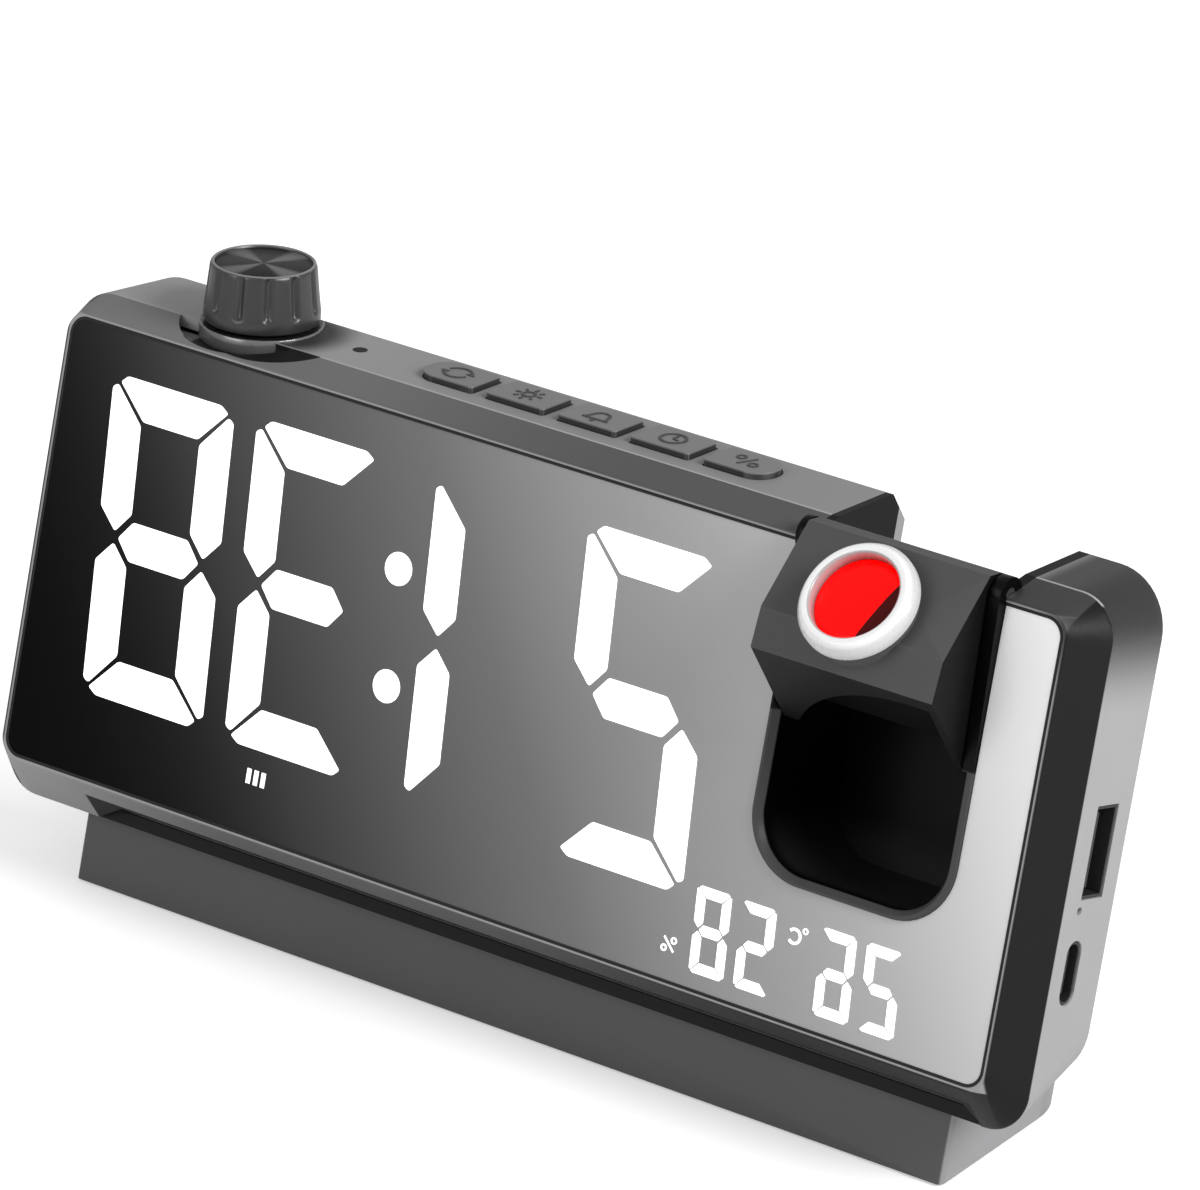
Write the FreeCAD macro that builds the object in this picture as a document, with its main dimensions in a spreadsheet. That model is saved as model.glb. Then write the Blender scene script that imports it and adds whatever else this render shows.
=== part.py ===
"""Projection alarm clock, as an assembly of separate pieces.

Everything is modelled in the case frame: X to the right along the mirror, Y straight into
the case, Z up along the mirror, origin at the middle of the mirror's front face.  Pieces on
the sloping top and on the projector head have their own frames.  At the end every piece is
leaned back on the foot, so that the foot's underside lies on Z = 0.
"""
import FreeCAD, Part
import math
import os
import re

import Sketcher
from FreeCAD import Placement, Rotation, Vector

doc = FreeCAD.newDocument("projection_clock")

# Driving dimensions, in millimetres and degrees
SIZES = {
    # mirror window
    "mirror_half": 93.0, "mirror_rise": 35.0, "mirror_thick": 1.5, "mirror_corner": 3.0,
    "mirror_inset": 0.1, "rim_width": 0.6, "seat_width": 2.5, "web_thick": 1.8,
    # case: the crease where the bevelled front meets the side walls, then the back outline
    "crease_depth": 6.75, "bevel_side": 4.2, "crease_top": 38.2, "crease_bottom": 41.7,
    "crease_corner": 6.5, "case_depth": 19.9, "back_taper": 0.2, "back_top": 40.8,
    "back_bottom": 35.7, "back_corner": 9.0, "wall_thick": 2.0, "lean_angle": 18.2,
    # rear cover
    "cover_dome": 4.1, "cover_round": 4.0, "cover_lip": 1.5, "lip_gap": 0.1,
    "lip_left": 79.0, "lip_right": 39.0,
    # shadow step along the lower bevel
    "step_left_inset": 15.5, "step_right_inset": 3.0, "step_slant": 7.0, "step_front": 2.5, "step_depth": 4.4,
    # projector recess
    "well_left": 46.2, "well_right": 82.5, "well_bottom": 14.7, "well_corner": 10.0,
    "well_wall": 1.3, "well_wall_right": 1.9, "well_depth": 20.0, "well_back": 2.0,
    "well_proud": 0.4, "well_back_top": 22.0, "lip_bevel": 0.9,
    # projector head, in its own frame whose origin is on the hinge axis
    "hinge_y": 1.0, "hinge_z": 35.8, "head_left": 47.9, "head_right": 80.2,
    "knuckle_r": 2.8, "head_top_y": -2.5, "head_top_z": 2.5, "crease_y": -10.85,
    "crease_z": -9.75, "chin_y": -11.7, "chin_z": -15.75, "tip_y": -0.05, "tip_z": -26.95,
    "heel_y": 6.4, "heel_z": -22.0, "rear_z": -3.5, "head_wall": 1.4,
    "arch_r": 30.0, "arch_top": 2.2, "arch_depth": 5.0, "room_front": -5.0, "room_low": -14.0,
    "room_high": -4.5, "fin_bottom": 9.5, "lid_gap": 0.1,
    "pin_r": 1.2, "pin_length": 4.0, "pin_gap": 0.05,
    # lens
    "lens_drop": 10.6, "boss_r": 8.5, "boss_height": 1.5, "ring_r": 9.3, "ring_front_r": 8.2,
    "ring_bore_r": 6.9, "ring_height": 2.9, "ring_gap": 0.1, "lens_thick": 1.6, "lens_dome": 1.0,
    "barrel_r": 4.0, "barrel_wall": 0.8, "barrel_length": 8.0, "disc_thick": 0.8,
    # top slope and knob
    "top_slope": 11.3, "knob_inset": 26.6, "knob_along": 5.8, "knob_r": 9.0, "knob_top_r": 7.9,
    "knob_band": 1.7, "knob_height": 9.2, "knob_lift": 0.75, "knob_bevel": 0.4, "dish_depth": 0.5,
    "flute_r": 0.7, "flute_count": 16, "collar_r": 9.6, "collar_rise": 0.3, "collar_drop": 2.2,
    "collar_inset": 0.8, "scoop_r": 12.6, "shaft_r": 3.0, "shaft_gap": 0.05,
    "control_width": 12.0, "control_height": 7.0, "control_gap": 0.5,
    # buttons
    "button_count": 5, "button_first_x": -34.4, "button_pitch": 13.6, "button_width": 10.9,
    "button_near": 3.3, "button_far": 10.6, "button_rise": 1.0, "button_flange": 1.0,
    "button_gap": 0.2, "button_travel": 0.8, "button_round": 3.4, "button_edge": 0.6,
    "button_skirt": 0.5, "switch_width": 6.0, "switch_height": 2.4,
    "stem_width": 3.0, "stem_length": 1.0, "switch_play": 0.15, "board_reach": 6.0,
    "post_r": 1.6, "post_place": 3.4,
    # small holes
    "sense_x": -47.8, "sense_along": 6.8, "sense_r": 0.6, "reset_back": 8.9, "reset_z": -7.8,
    "reset_r": 0.6,
    # side sockets
    "usb_a_back": 6.2, "usb_a_z": 0.8, "usb_a_height": 13.6, "usb_a_thick": 5.2,
    "usb_a_depth": 14.0, "usb_c_back": 8.2, "usb_c_z": -17.2, "usb_c_height": 9.4,
    "usb_c_thick": 3.4, "usb_c_depth": 8.0, "shell_thick": 0.35, "port_gap": 0.2,
    # display stack
    "mask_thick": 3.0, "mask_gap": 0.2, "board_thick": 1.6,
    "window_thick": 1.2, "board_inset": 2.0,
    # lit segments: a digit's half width, half height, bar and lean
    "digit_x": -69.45, "digit_z": 3.25, "digit_pitch": 28.5, "hour_gap": 63.4,
    "digit_half": 12.0, "digit_rise": 24.75, "digit_bar": 6.2, "digit_slant": 0.072,
    "bar_gap": 0.8, "bar_tip": 4.0, "small_scale": 0.262, "small_z": -25.6,
    "humid_x": 42.5, "warm_x": 65.1, "small_pitch": 8.15, "dot_r": 2.53, "dot_rise": 8.9,
    "dot_x": -23.4,
    # foot
    "foot_inset": 10.0, "foot_front_y": 10.2, "foot_front_z": 53.3, "foot_depth": 34.0,
    "foot_corner": 9.0, "foot_edge": 1.0, "foot_wall": 4.0,
    "foot_height": 14.0, "foot_room": 8.5, "plate_thick": 1.5, "plate_recess": 0.3,
    "pad_r": 5.0, "pad_thick": 0.7, "pad_inset": 14.0,
    # inner pieces
    "speaker_inset": 23.0, "speaker_z": -4.0, "speaker_r": 13.0, "speaker_height": 5.0,
    "board_left": -52.0, "board_right": 40.0, "board_low": -27.0, "board_high": 22.0,
    "board_space": 4.0, "cell_x": -20.0, "cell_z": -3.0, "cell_r": 10.0, "cell_thick": 3.2,
    "holder_wall": 1.5, "door_gap": 0.15, "door_thick": 1.2, "screw_r": 1.2, "screw_head_r": 2.2,
    "screw_head": 1.4, "screw_length": 8.0, "boss_wall": 3.6, "boss_start": 1.25,
    "screw_inset": 6.4, "screw_up": 30.0, "screw_down": 28.6, "foot_screw_x": 60.0, "foot_screw_y": 9.0,
}

sheet = doc.addObject("Spreadsheet::Sheet", "sizes")
for row, (alias, value) in enumerate(SIZES.items(), start=1):
    sheet.set("A%d" % row, alias)
    sheet.set("B%d" % row, repr(value))
    sheet.setAlias("B%d" % row, alias)
doc.recompute()

# Sizes that follow the mirror's width and the case's depth
DERIVED = {
    "crease_half": "(mirror_half + bevel_side)",
    "back_half": "(crease_half - back_taper)",
    "step_left": "(mirror_half - step_left_inset)",
    "step_right": "(mirror_half - step_right_inset)",
    "knob_x": "(knob_inset - mirror_half)",
    "speaker_x": "(speaker_inset - mirror_half)",
    "foot_half": "(mirror_half - foot_inset)",
    "screw_x": "(back_half - screw_inset)",
    "usb_a_y": "(case_depth - usb_a_back)",
    "usb_c_y": "(case_depth - usb_c_back)",
    "reset_y": "(case_depth - reset_back)",
    "collar_back": "((case_depth - crease_depth) / cos(top_slope) - knob_along - collar_inset)",
}
MATHS = ("tan", "cos", "sin", "sqrt", "atan")
PLANES = {
    "front": (Rotation(Vector(1, 0, 0), 90), "y"),
    "top": (Rotation(), "z"),
    "side": (Rotation(Vector(1, 1, 1), 120), "x"),
}
AXIS_TURNS = {
    "x": Rotation(Vector(0, 0, 1), Vector(1, 0, 0)),
    "y": Rotation(Vector(0, 0, 1), Vector(0, 1, 0)),
    "z": Rotation(),
}
pieces = []


def bound(text):
    """Point every size name in an expression at the sheet."""
    def point(match):
        word = match.group(0)
        if word in DERIVED:
            return bound(DERIVED[word])
        return word if word in MATHS else "sizes." + word
    return re.sub(r"[a-z]\w*", point, text)


def amount(text):
    """Work an expression out, for a starting value or a loop."""
    return float(sheet.evalExpression(bound(text)))


def put(shape, x, y, z):
    for axis, text in zip("xyz", (x, y, z)):
        shape.setExpression("Placement.Base." + axis, bound(text))
    return shape


def box(x, y, z):
    """A block between pairs of coordinates."""
    block = doc.addObject("Part::Box", "block")
    for side, (low, high) in zip(("Length", "Width", "Height"), (x, y, z)):
        block.setExpression(side, bound("(%s) - (%s)" % (high, low)))
    return put(block, x[0], y[0], z[0])


def rod(axis, start, radius, length):
    """A round bar from a start point along x, y or z."""
    bar = doc.addObject("Part::Cylinder", "rod")
    bar.setExpression("Radius", bound(radius))
    bar.setExpression("Height", bound(length))
    bar.Placement.Rotation = AXIS_TURNS[axis]
    return put(bar, *start)


def taper(start, radius, end_radius, length):
    """A cone that stands up along z."""
    cone = doc.addObject("Part::Cone", "taper")
    cone.setExpression("Radius1", bound(radius))
    cone.setExpression("Radius2", bound(end_radius))
    cone.setExpression("Height", bound(length))
    return put(cone, *start)


def pin_point(sketch, line, end, across, upward):
    """Hold one end of a sketched line at a place given by two expressions."""
    for kind, text in (("DistanceX", across), ("DistanceY", upward)):
        if text is None:
            continue
        if amount(text) < 0:
            held = Sketcher.Constraint(kind, line, end, -1, 1, -amount(text))
            text = "-(%s)" % text
        else:
            held = Sketcher.Constraint(kind, -1, 1, line, end, amount(text))
        index = sketch.addConstraint(held)
        sketch.setExpression("Constraints[%d]" % index, bound(text))


def sketch_on(plane, level):
    turn, axis = PLANES[plane]
    sketch = doc.addObject("Sketcher::SketchObject", "outline")
    sketch.Placement = Placement(Vector(), turn)
    sketch.setExpression("Placement.Base." + axis, bound(level))
    return sketch


def rounded(plane, level, across, upward, corner):
    """A rectangle with four equal round corners, given by its sides."""
    sketch = sketch_on(plane, level)
    left, right = amount(across[0]), amount(across[1])
    low, high = amount(upward[0]), amount(upward[1])
    r = amount(corner)
    ends = [((left + r, low), (right - r, low)), ((right, low + r), (right, high - r)),
            ((right - r, high), (left + r, high)), ((left, high - r), (left, low + r))]
    for start, end in ends:
        sketch.addGeometry(Part.LineSegment(Vector(*start, 0), Vector(*end, 0)), False)
    middles = [(right - r, low + r), (right - r, high - r), (left + r, high - r),
               (left + r, low + r)]
    for quarter, middle in enumerate(middles):
        circle = Part.Circle(Vector(*middle, 0), Vector(0, 0, 1), r)
        first = math.radians(-90 + 90 * quarter)
        sketch.addGeometry(Part.ArcOfCircle(circle, first, first + math.pi / 2), False)
    for side in range(4):
        arc = 4 + side
        following = (side + 1) % 4
        sketch.addConstraint(Sketcher.Constraint("Tangent", side, 2, arc, 1))
        sketch.addConstraint(Sketcher.Constraint("Tangent", arc, 2, following, 1))
        direction = "Horizontal" if side % 2 == 0 else "Vertical"
        sketch.addConstraint(Sketcher.Constraint(direction, side))
        if side:
            sketch.addConstraint(Sketcher.Constraint("Equal", 4, arc))
    pin_point(sketch, 3, 1, across[0], None)
    pin_point(sketch, 1, 1, across[1], None)
    pin_point(sketch, 0, 1, None, upward[0])
    pin_point(sketch, 2, 1, None, upward[1])
    index = sketch.addConstraint(Sketcher.Constraint("Radius", 4, r))
    sketch.setExpression("Constraints[%d]" % index, bound(corner))
    return sketch


def polygon(plane, level, points):
    """A closed outline of straight sides through points given by expressions."""
    sketch = sketch_on(plane, level)
    corners = [Vector(amount(a), amount(b), 0) for a, b in points]
    for here, there in zip(corners, corners[1:] + corners[:1]):
        sketch.addGeometry(Part.LineSegment(here, there), False)
    for line, point in enumerate(points):
        last = (line - 1) % len(points)
        sketch.addConstraint(Sketcher.Constraint("Coincident", last, 2, line, 1))
        pin_point(sketch, line, 1, *point)
    return sketch


def pad(sketch, direction, length):
    """Pull a flat outline into a solid."""
    solid = doc.addObject("Part::Extrusion", "pad")
    solid.Base = sketch
    solid.DirMode = "Custom"
    solid.Dir = Vector(*direction)
    solid.setExpression("LengthFwd", bound(length))
    solid.Solid = True
    return solid


def loft(*sketches):
    solid = doc.addObject("Part::Loft", "loft")
    solid.Sections = list(sketches)
    solid.Solid = True
    solid.Ruled = True
    return solid


def fuse(*solids):
    whole = doc.addObject("Part::MultiFuse", "joined")
    whole.Shapes = list(solids)
    whole.Refine = True
    return whole


def cut(base, *tools):
    remainder = doc.addObject("Part::Cut", "remainder")
    remainder.Base = base
    remainder.Tool = tools[0] if len(tools) == 1 else fuse(*tools)
    return remainder


def overlap(first, second):
    shared = doc.addObject("Part::Common", "shared")
    shared.Base = first
    shared.Tool = second
    return shared


def group(*solids):
    """Like solids that stay separate but share one node."""
    bundle = doc.addObject("Part::Compound", "bundle")
    bundle.Links = list(solids)
    return bundle


def piece(label, solid, frame="case"):
    """Name a finished piece and say which frame it was drawn in."""
    solid.Label = label
    pieces.append((solid, frame))
    return solid


# Case body: bevelled front from the rim back to the crease, then tapered side walls
def rim_outline(level, inset, corner):
    half = "mirror_half + rim_width - (%s)" % inset
    rise = "mirror_rise + rim_width - (%s)" % inset
    return rounded("front", level, ("-(%s)" % half, half), ("-(%s)" % rise, rise), corner)


def crease_outline(inset):
    half = "crease_half - (%s)" % inset
    return rounded("front", "crease_depth", ("-(%s)" % half, half),
                   ("-(crease_bottom - (%s))" % inset, "crease_top - (%s)" % inset),
                   "crease_corner - 0.5 * (%s)" % inset)


def back_outline(level, inset, corner):
    half = "back_half - (%s)" % inset
    return rounded("front", level, ("-(%s)" % half, half),
                   ("-(back_bottom - (%s))" % inset, "back_top - (%s)" % inset), corner)


def case_solid():
    bevel = loft(rim_outline("0", "0", "mirror_corner + rim_width"), crease_outline("0"))
    sides = loft(crease_outline("0"), back_outline("case_depth", "0", "back_corner"))
    return fuse(bevel, sides)


def well_prism(start, length, inset, inset_right, bottom_inset):
    """The U of the projector recess, open upwards past the top of the case."""
    outline = rounded("front", start,
                      ("well_left + (%s)" % inset, "well_right - (%s)" % inset_right),
                      ("-(well_bottom - (%s))" % bottom_inset, "2 * crease_top"),
                      "well_corner - (%s)" % inset)
    return pad(outline, (0, 1, 0), length)


def button_prism(number, gap, low, high, corner="button_edge"):
    """One cap's outline on the top slope; the two end caps are round at their outer ends."""
    left = "button_first_x + %d * button_pitch - (%s)" % (number, gap)
    right = "button_first_x + %d * button_pitch + button_width + (%s)" % (number, gap)
    breadth = ("button_near - (%s)" % gap, "button_far + (%s)" % gap)
    height = "(%s) - (%s)" % (high, low)
    prism = pad(rounded("top", low, (left, right), breadth, corner), (0, 0, 1), height)
    if number not in (0, SIZES["button_count"] - 1):
        return prism
    across = (left, right + " + button_width") if number == 0 else (left + " - button_width", right)
    end = pad(rounded("top", low, across, breadth, "button_round + (%s)" % gap), (0, 0, 1), height)
    return overlap(prism, end)


# Frames: where each drawing frame sits in the case frame, as expressions
LENS_TILT = "atan((head_top_y - crease_y) / (head_top_z - crease_z))"
FRAMES = {
    "case": ("0", "0", "0", "0"),
    "top": ("0", "crease_depth", "crease_top", "top_slope"),
    "knob": ("knob_x", "crease_depth + knob_along * cos(top_slope)",
             "crease_top + knob_along * sin(top_slope)", "top_slope"),
    "head": ("0", "hinge_y", "hinge_z", "0"),
    "lens": ("0.5 * (head_left + head_right)",
             "hinge_y + head_top_y - lens_drop * sin(%s)" % LENS_TILT,
             "hinge_z + head_top_z - lens_drop * cos(%s)" % LENS_TILT,
             "atan((head_top_z - crease_z) / (head_top_y - crease_y))"),
    "foot": ("0", "foot_front_y", "-foot_front_z", "lean_angle"),
}


def seat(solid, frame):
    """Set a solid drawn in one of the frames into the case frame."""
    x, y, z, tilt = FRAMES[frame]
    solid.Placement.Rotation = Rotation(Vector(1, 0, 0), 1)
    solid.setExpression("Placement.Rotation.Angle", bound(tilt))
    return put(solid, x, y, z)


# Housing: one moulding with the bevelled front, the side walls and the button wells
def inner_room():
    front = rounded("front", "mirror_thick + web_thick",
                    ("-(mirror_half - wall_thick)", "mirror_half - wall_thick"),
                    ("-(mirror_rise - wall_thick)", "mirror_rise - wall_thick"), "mirror_corner")
    room = loft(front, crease_outline("wall_thick"))
    rear = loft(crease_outline("wall_thick"), back_outline("case_depth", "wall_thick",
                                                          "back_corner - wall_thick"))
    return fuse(room, rear)


def mirror_seat():
    outline = rounded("front", "-1", ("-mirror_half", "mirror_half"),
                      ("-mirror_rise", "mirror_rise"), "mirror_corner")
    return pad(outline, (0, 1, 0), "1 + mirror_thick")


def light_window():
    half = "mirror_half - seat_width"
    rise = "mirror_rise - seat_width"
    return box(("-(%s)" % half, half), ("0", "mirror_thick + web_thick"), ("-(%s)" % rise, rise))


def shadow_step():
    """The long dark step cut into the lower bevel, with slanted ends."""
    base = "-(crease_bottom + 5)"
    top = "-(mirror_rise + rim_width + step_front * (crease_bottom - mirror_rise) / crease_depth)"
    outline = polygon("front", "-1", [
        ("-(step_left)", base), ("step_right", base), ("step_right", "-crease_bottom + 1"),
        ("step_right - 1.5", top), ("-(step_left - step_slant)", top),
        ("-(step_left)", "-crease_bottom")])
    return pad(outline, (0, 1, 0), "1 + step_front + step_depth")


SWITCH_TOP = ("-wall_thick - button_gap - button_flange - stem_length - button_travel"
              " - switch_play")
ROW_END = "button_first_x + (button_count - 1) * button_pitch + button_width"
ROW_MIDDLE = "0.5 * (button_near + button_far)"


def board_posts():
    """Two posts under the top wall that carry the button board."""
    posts = [rod("z", (x, ROW_MIDDLE, "(%s) - switch_height" % SWITCH_TOP), "post_r",
                 "-(%s) + switch_height - 0.5 * wall_thick" % SWITCH_TOP)
             for x in ("button_first_x - post_place", "%s + post_place" % ROW_END)]
    return seat(group(*posts), "top")


def button_holes():
    wells = [button_prism(number, "button_gap", "-2 * wall_thick", "wall_thick")
             for number in range(int(SIZES["button_count"]))]
    return seat(group(*wells), "top")


def collar_limit():
    """The collar is flat at the back, level with the case's back edge."""
    return box(("-2 * collar_r", "2 * collar_r"), ("-2 * collar_r", "collar_back"),
               ("-2 * collar_drop", "2 * collar_drop"))


def scoop():
    """The hollow in the bevel in front of the knob's collar."""
    round_cut = rod("z", ("0", "0", "-collar_drop"), "scoop_r", "2 * collar_drop")
    ahead = box(("-2 * scoop_r", "2 * scoop_r"), ("-2 * scoop_r", "-knob_along"),
                ("-collar_drop", "collar_drop"))
    collar_seat = overlap(rod("z", ("0", "0", "-collar_drop"), "collar_r", "2 * collar_drop"),
                          collar_limit())
    shaft_hole = rod("z", ("0", "0", "-4 * wall_thick"), "shaft_r + 1", "5 * wall_thick")
    return seat(fuse(overlap(round_cut, ahead), collar_seat, shaft_hole), "knob")


def side_port(y, z, thick, height, depth):
    """A flat rounded socket opening through the right wall."""
    half_y = "0.5 * (%s)" % thick
    half_z = "0.5 * (%s)" % height
    return box(("crease_half - (%s)" % depth, "crease_half + 1"),
               ("%s - %s" % (y, half_y), "%s + %s" % (y, half_y)),
               ("%s - %s" % (z, half_z), "%s + %s" % (z, half_z)))


def usb_c_solid(start, length, spare):
    """The pill shape of the small socket, along X."""
    low = "usb_c_z - 0.5 * (usb_c_height - usb_c_thick)"
    high = "usb_c_z + 0.5 * (usb_c_height - usb_c_thick)"
    radius = "0.5 * usb_c_thick + (%s)" % spare
    lower = rod("x", (start, "usb_c_y", low), radius, length)
    upper = rod("x", (start, "usb_c_y", high), radius, length)
    middle = box((start, "(%s) + (%s)" % (start, length)),
                 ("usb_c_y - (%s)" % radius, "usb_c_y + (%s)" % radius), (low, high))
    return fuse(lower, upper, middle)


def corner_rods(start, radius, length):
    """Four bars into the case from behind, near its corners."""
    places = [(side + "screw_x", level) for side in ("-", "") for level in ("-screw_down", "screw_up")]
    return [rod("y", (x, start, z), radius, length) for x, z in places]


def foot_rods(start, radius, length):
    """Two upright bars between the foot and the case."""
    return [rod("z", (x, "foot_screw_y", start), radius, length)
            for x in ("-foot_screw_x", "foot_screw_x")]


screw_tip = "case_depth + cover_dome - screw_head - screw_length"
bosses = overlap(group(*corner_rods("crease_depth + boss_start", "screw_r + boss_wall",
                                    "case_depth - cover_lip - crease_depth - boss_start")),
                 case_solid())
foot_bosses = seat(group(*foot_rods("foot_height - 3", "screw_r + boss_wall", "7")), "foot")
boss_holes = group(*corner_rods(screw_tip, "screw_r", "3 * screw_length"))
foot_holes = seat(group(*foot_rods("0", "screw_r", "foot_height + 2.5")), "foot")
reset_hole = rod("x", ("crease_half - 2 * wall_thick", "reset_y", "reset_z"), "reset_r",
                 "3 * wall_thick")
sense_hole = seat(group(rod("z", ("sense_x", "sense_along", "-2 * wall_thick"), "sense_r",
                            "3 * wall_thick")), "top")
shell = cut(case_solid(), fuse(inner_room(), mirror_seat(), light_window()))
foot_posts = overlap(foot_bosses, case_solid())
housing = cut(fuse(shell, bosses, foot_posts, board_posts()), boss_holes, foot_holes, shadow_step(),
              well_prism("-1", "case_depth + 2", "0", "0", "0"), button_holes(), scoop(),
              side_port("usb_a_y", "usb_a_z", "usb_a_thick + 2 * port_gap",
                        "usb_a_height + 2 * port_gap", "2 * wall_thick"),
              usb_c_solid("crease_half - 2 * wall_thick", "3 * wall_thick", "port_gap"),
              reset_hole, sense_hole)
piece("housing", housing)

# Mirror window: a thin half-silvered sheet in the seat, cut away round the projector
mirror_blank = pad(rounded("front", "mirror_inset",
                           ("-(mirror_half - mirror_inset)", "mirror_half - mirror_inset"),
                           ("-(mirror_rise - mirror_inset)", "mirror_rise - mirror_inset"),
                           "mirror_corner - mirror_inset"),
                   (0, 1, 0), "mirror_thick - mirror_inset")
piece("mirror_window", cut(mirror_blank, well_prism("-1", "mirror_thick + 2", "-mirror_inset",
                                                    "-mirror_inset", "-mirror_inset")))

# Rear cover: a shallow dished lid on the back edge of the housing
def dome(inset, start, depth):
    edge = back_outline(start, inset, "back_corner - 0.5 * (%s)" % inset)
    crown = back_outline("(%s) + (%s)" % (start, depth), "(%s) + cover_round" % inset,
                         "back_corner - 0.5 * cover_round - 0.5 * (%s)" % inset)
    return loft(edge, crown)


lid_lip = overlap(pad(back_outline("case_depth - cover_lip", "wall_thick",
                                   "back_corner - wall_thick"), (0, 1, 0), "cover_lip"),
                  loft(crease_outline("wall_thick + lip_gap"),
                       back_outline("case_depth", "wall_thick + lip_gap",
                                    "back_corner - wall_thick - lip_gap")))
lip_notch = box(("-lip_left", "lip_right"), ("0", "case_depth"), ("mirror_rise", "2 * back_top"))
lid_room = pad(back_outline("case_depth - cover_lip - 1", "2 * wall_thick",
                            "back_corner - 1.5 * wall_thick"), (0, 1, 0), "cover_lip + 1")
lid_dome = dome("0", "case_depth", "cover_dome")
lid_hollow = dome("2 * wall_thick", "case_depth", "cover_dome - wall_thick")
cover_notch = box(("well_left + well_wall", "well_right - well_wall_right"),
                  ("0", "case_depth + 2 * cover_dome"), ("well_back_top", "2 * crease_top"))
lid_columns = overlap(group(*corner_rods("case_depth - cover_lip", "screw_r + boss_wall",
                                         "cover_lip + cover_dome")),
                      fuse(dome("0", "case_depth", "cover_dome"), group(lid_lip)))
screw_heads = group(*corner_rods("case_depth + cover_dome - screw_head", "screw_head_r",
                                 "2 * screw_head"))
door_hole = rod("y", ("cell_x", "case_depth", "cell_z"), "cell_r + 3 * holder_wall",
                "2 * cover_dome")
rear_cover = cut(fuse(cut(fuse(lid_lip, lid_dome), lid_room, lid_hollow), lid_columns),
                 boss_holes, screw_heads, door_hole, lip_notch)
piece("rear_cover", cut(rear_cover, cover_notch,
                        well_prism("0", "well_depth + well_back", "0", "0", "0")))

# Projector recess: a dark U-shaped cup with a bevelled lip that stands proud of the mirror
def head_rod(low, high, radius):
    """A bar on the hinge axis between two X places."""
    return rod("x", (low, "hinge_y", "hinge_z"), radius, "(%s) - (%s)" % (high, low))


well_outer = well_prism("0", "well_depth + well_back", "0", "0", "0")
case_room = fuse(case_solid(), dome("0", "case_depth", "cover_dome"))
well_lip = overlap(well_prism("-well_proud", "well_proud", "0", "0", "0"),
                   box(("well_left", "well_right"), ("-1", "1"),
                       ("-2 * well_bottom", "mirror_rise")))
well_inside = well_prism("-1", "1 + well_depth", "well_wall", "well_wall_right", "well_wall")
bevel_front = rounded("front", "-well_proud - 0.01",
                      ("well_left + well_wall - lip_bevel", "well_right - well_wall_right + lip_bevel"),
                      ("-(well_bottom - well_wall + lip_bevel)", "2 * crease_top"),
                      "well_corner - well_wall + lip_bevel")
bevel_back = rounded("front", "lip_bevel",
                     ("well_left + well_wall", "well_right - well_wall_right"),
                     ("-(well_bottom - well_wall)", "2 * crease_top"), "well_corner - well_wall")
ear_left = head_rod("well_left", "well_left + well_wall", "knuckle_r")
ear_right = head_rod("well_right - well_wall_right", "well_right", "knuckle_r")
fin = pad(polygon("side", "well_right - well_wall_right", [
    ("hinge_y - knuckle_r", "hinge_z"), ("-well_proud", "fin_bottom"), ("0.5", "fin_bottom"),
    ("hinge_y + knuckle_r", "hinge_z")]), (1, 0, 0), "well_wall_right")
pin_bore = head_rod("well_left - 1", "well_right + 1", "pin_r + pin_gap")
well_gap = box(("well_left + well_wall", "well_right - well_wall_right"),
               ("0", "2 * well_depth"), ("well_back_top", "2 * crease_top"))
cup = cut(fuse(overlap(well_outer, case_room), well_lip), well_inside,
          loft(bevel_front, bevel_back), well_gap)
piece("projector_recess", cut(fuse(cup, ear_left, ear_right, fin), pin_bore))

# Projector head: a faceted hood that swings on two pins at the top of the recess
head_profile = pad(polygon("side", "head_left", [
    ("head_top_y", "head_top_z"), ("crease_y", "crease_z"), ("chin_y", "chin_z"),
    ("tip_y", "tip_z"), ("heel_y", "heel_z"), ("heel_y", "rear_z"), ("knuckle_r", "0"),
    ("0", "knuckle_r")]), (1, 0, 0), "head_right - head_left")
knuckle = rod("x", ("head_left", "0", "0"), "knuckle_r", "head_right - head_left")
boss = rod("z", ("0", "0", "-0.5 * boss_r"), "boss_r", "0.5 * boss_r + boss_height")


def in_head(solid):
    """Bring a solid drawn in the lens frame into the head's frame."""
    x, y, z, tilt = FRAMES["lens"]
    solid.Placement.Rotation = Rotation(Vector(1, 0, 0), 1)
    solid.setExpression("Placement.Rotation.Angle", bound(tilt))
    return put(solid, x, "(%s) - hinge_y" % y, "(%s) - hinge_z" % z)


CHIN_TILT = "atan((chin_z - tip_z) / (tip_y - chin_y))"
arch_round = rod("z", ("head_right - 3 * head_wall", "arch_top + arch_r", "-arch_depth"),
                 "arch_r", "2 * arch_depth")
arch_limit = box(("head_left - 1", "head_right - head_wall"), ("0", "2 * arch_r"),
                 ("-arch_depth", "arch_depth"))
arch = overlap(arch_round, arch_limit)
arch.Placement.Rotation = Rotation(Vector(-1, 0, 0), 1)
arch.setExpression("Placement.Rotation.Angle", bound(CHIN_TILT))
put(arch, "0", "chin_y", "chin_z")
head_room = box(("head_left + head_wall", "head_right - head_wall"),
                ("room_front", "heel_y + 1"), ("room_low", "room_high"))
barrel_bore = rod("z", ("0", "0", "-barrel_length"), "barrel_r", "barrel_length + 2 * boss_height")
pin_holes = fuse(rod("x", ("head_left - 1", "0", "0"), "pin_r", "1 + pin_length"),
                 rod("x", ("head_right - pin_length", "0", "0"), "pin_r", "1 + pin_length"))
head_shell = cut(fuse(head_profile, knuckle, in_head(group(boss))), arch, head_room, pin_holes,
                 in_head(group(barrel_bore)))
piece("projector_head_shell", head_shell, "head")

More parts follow.
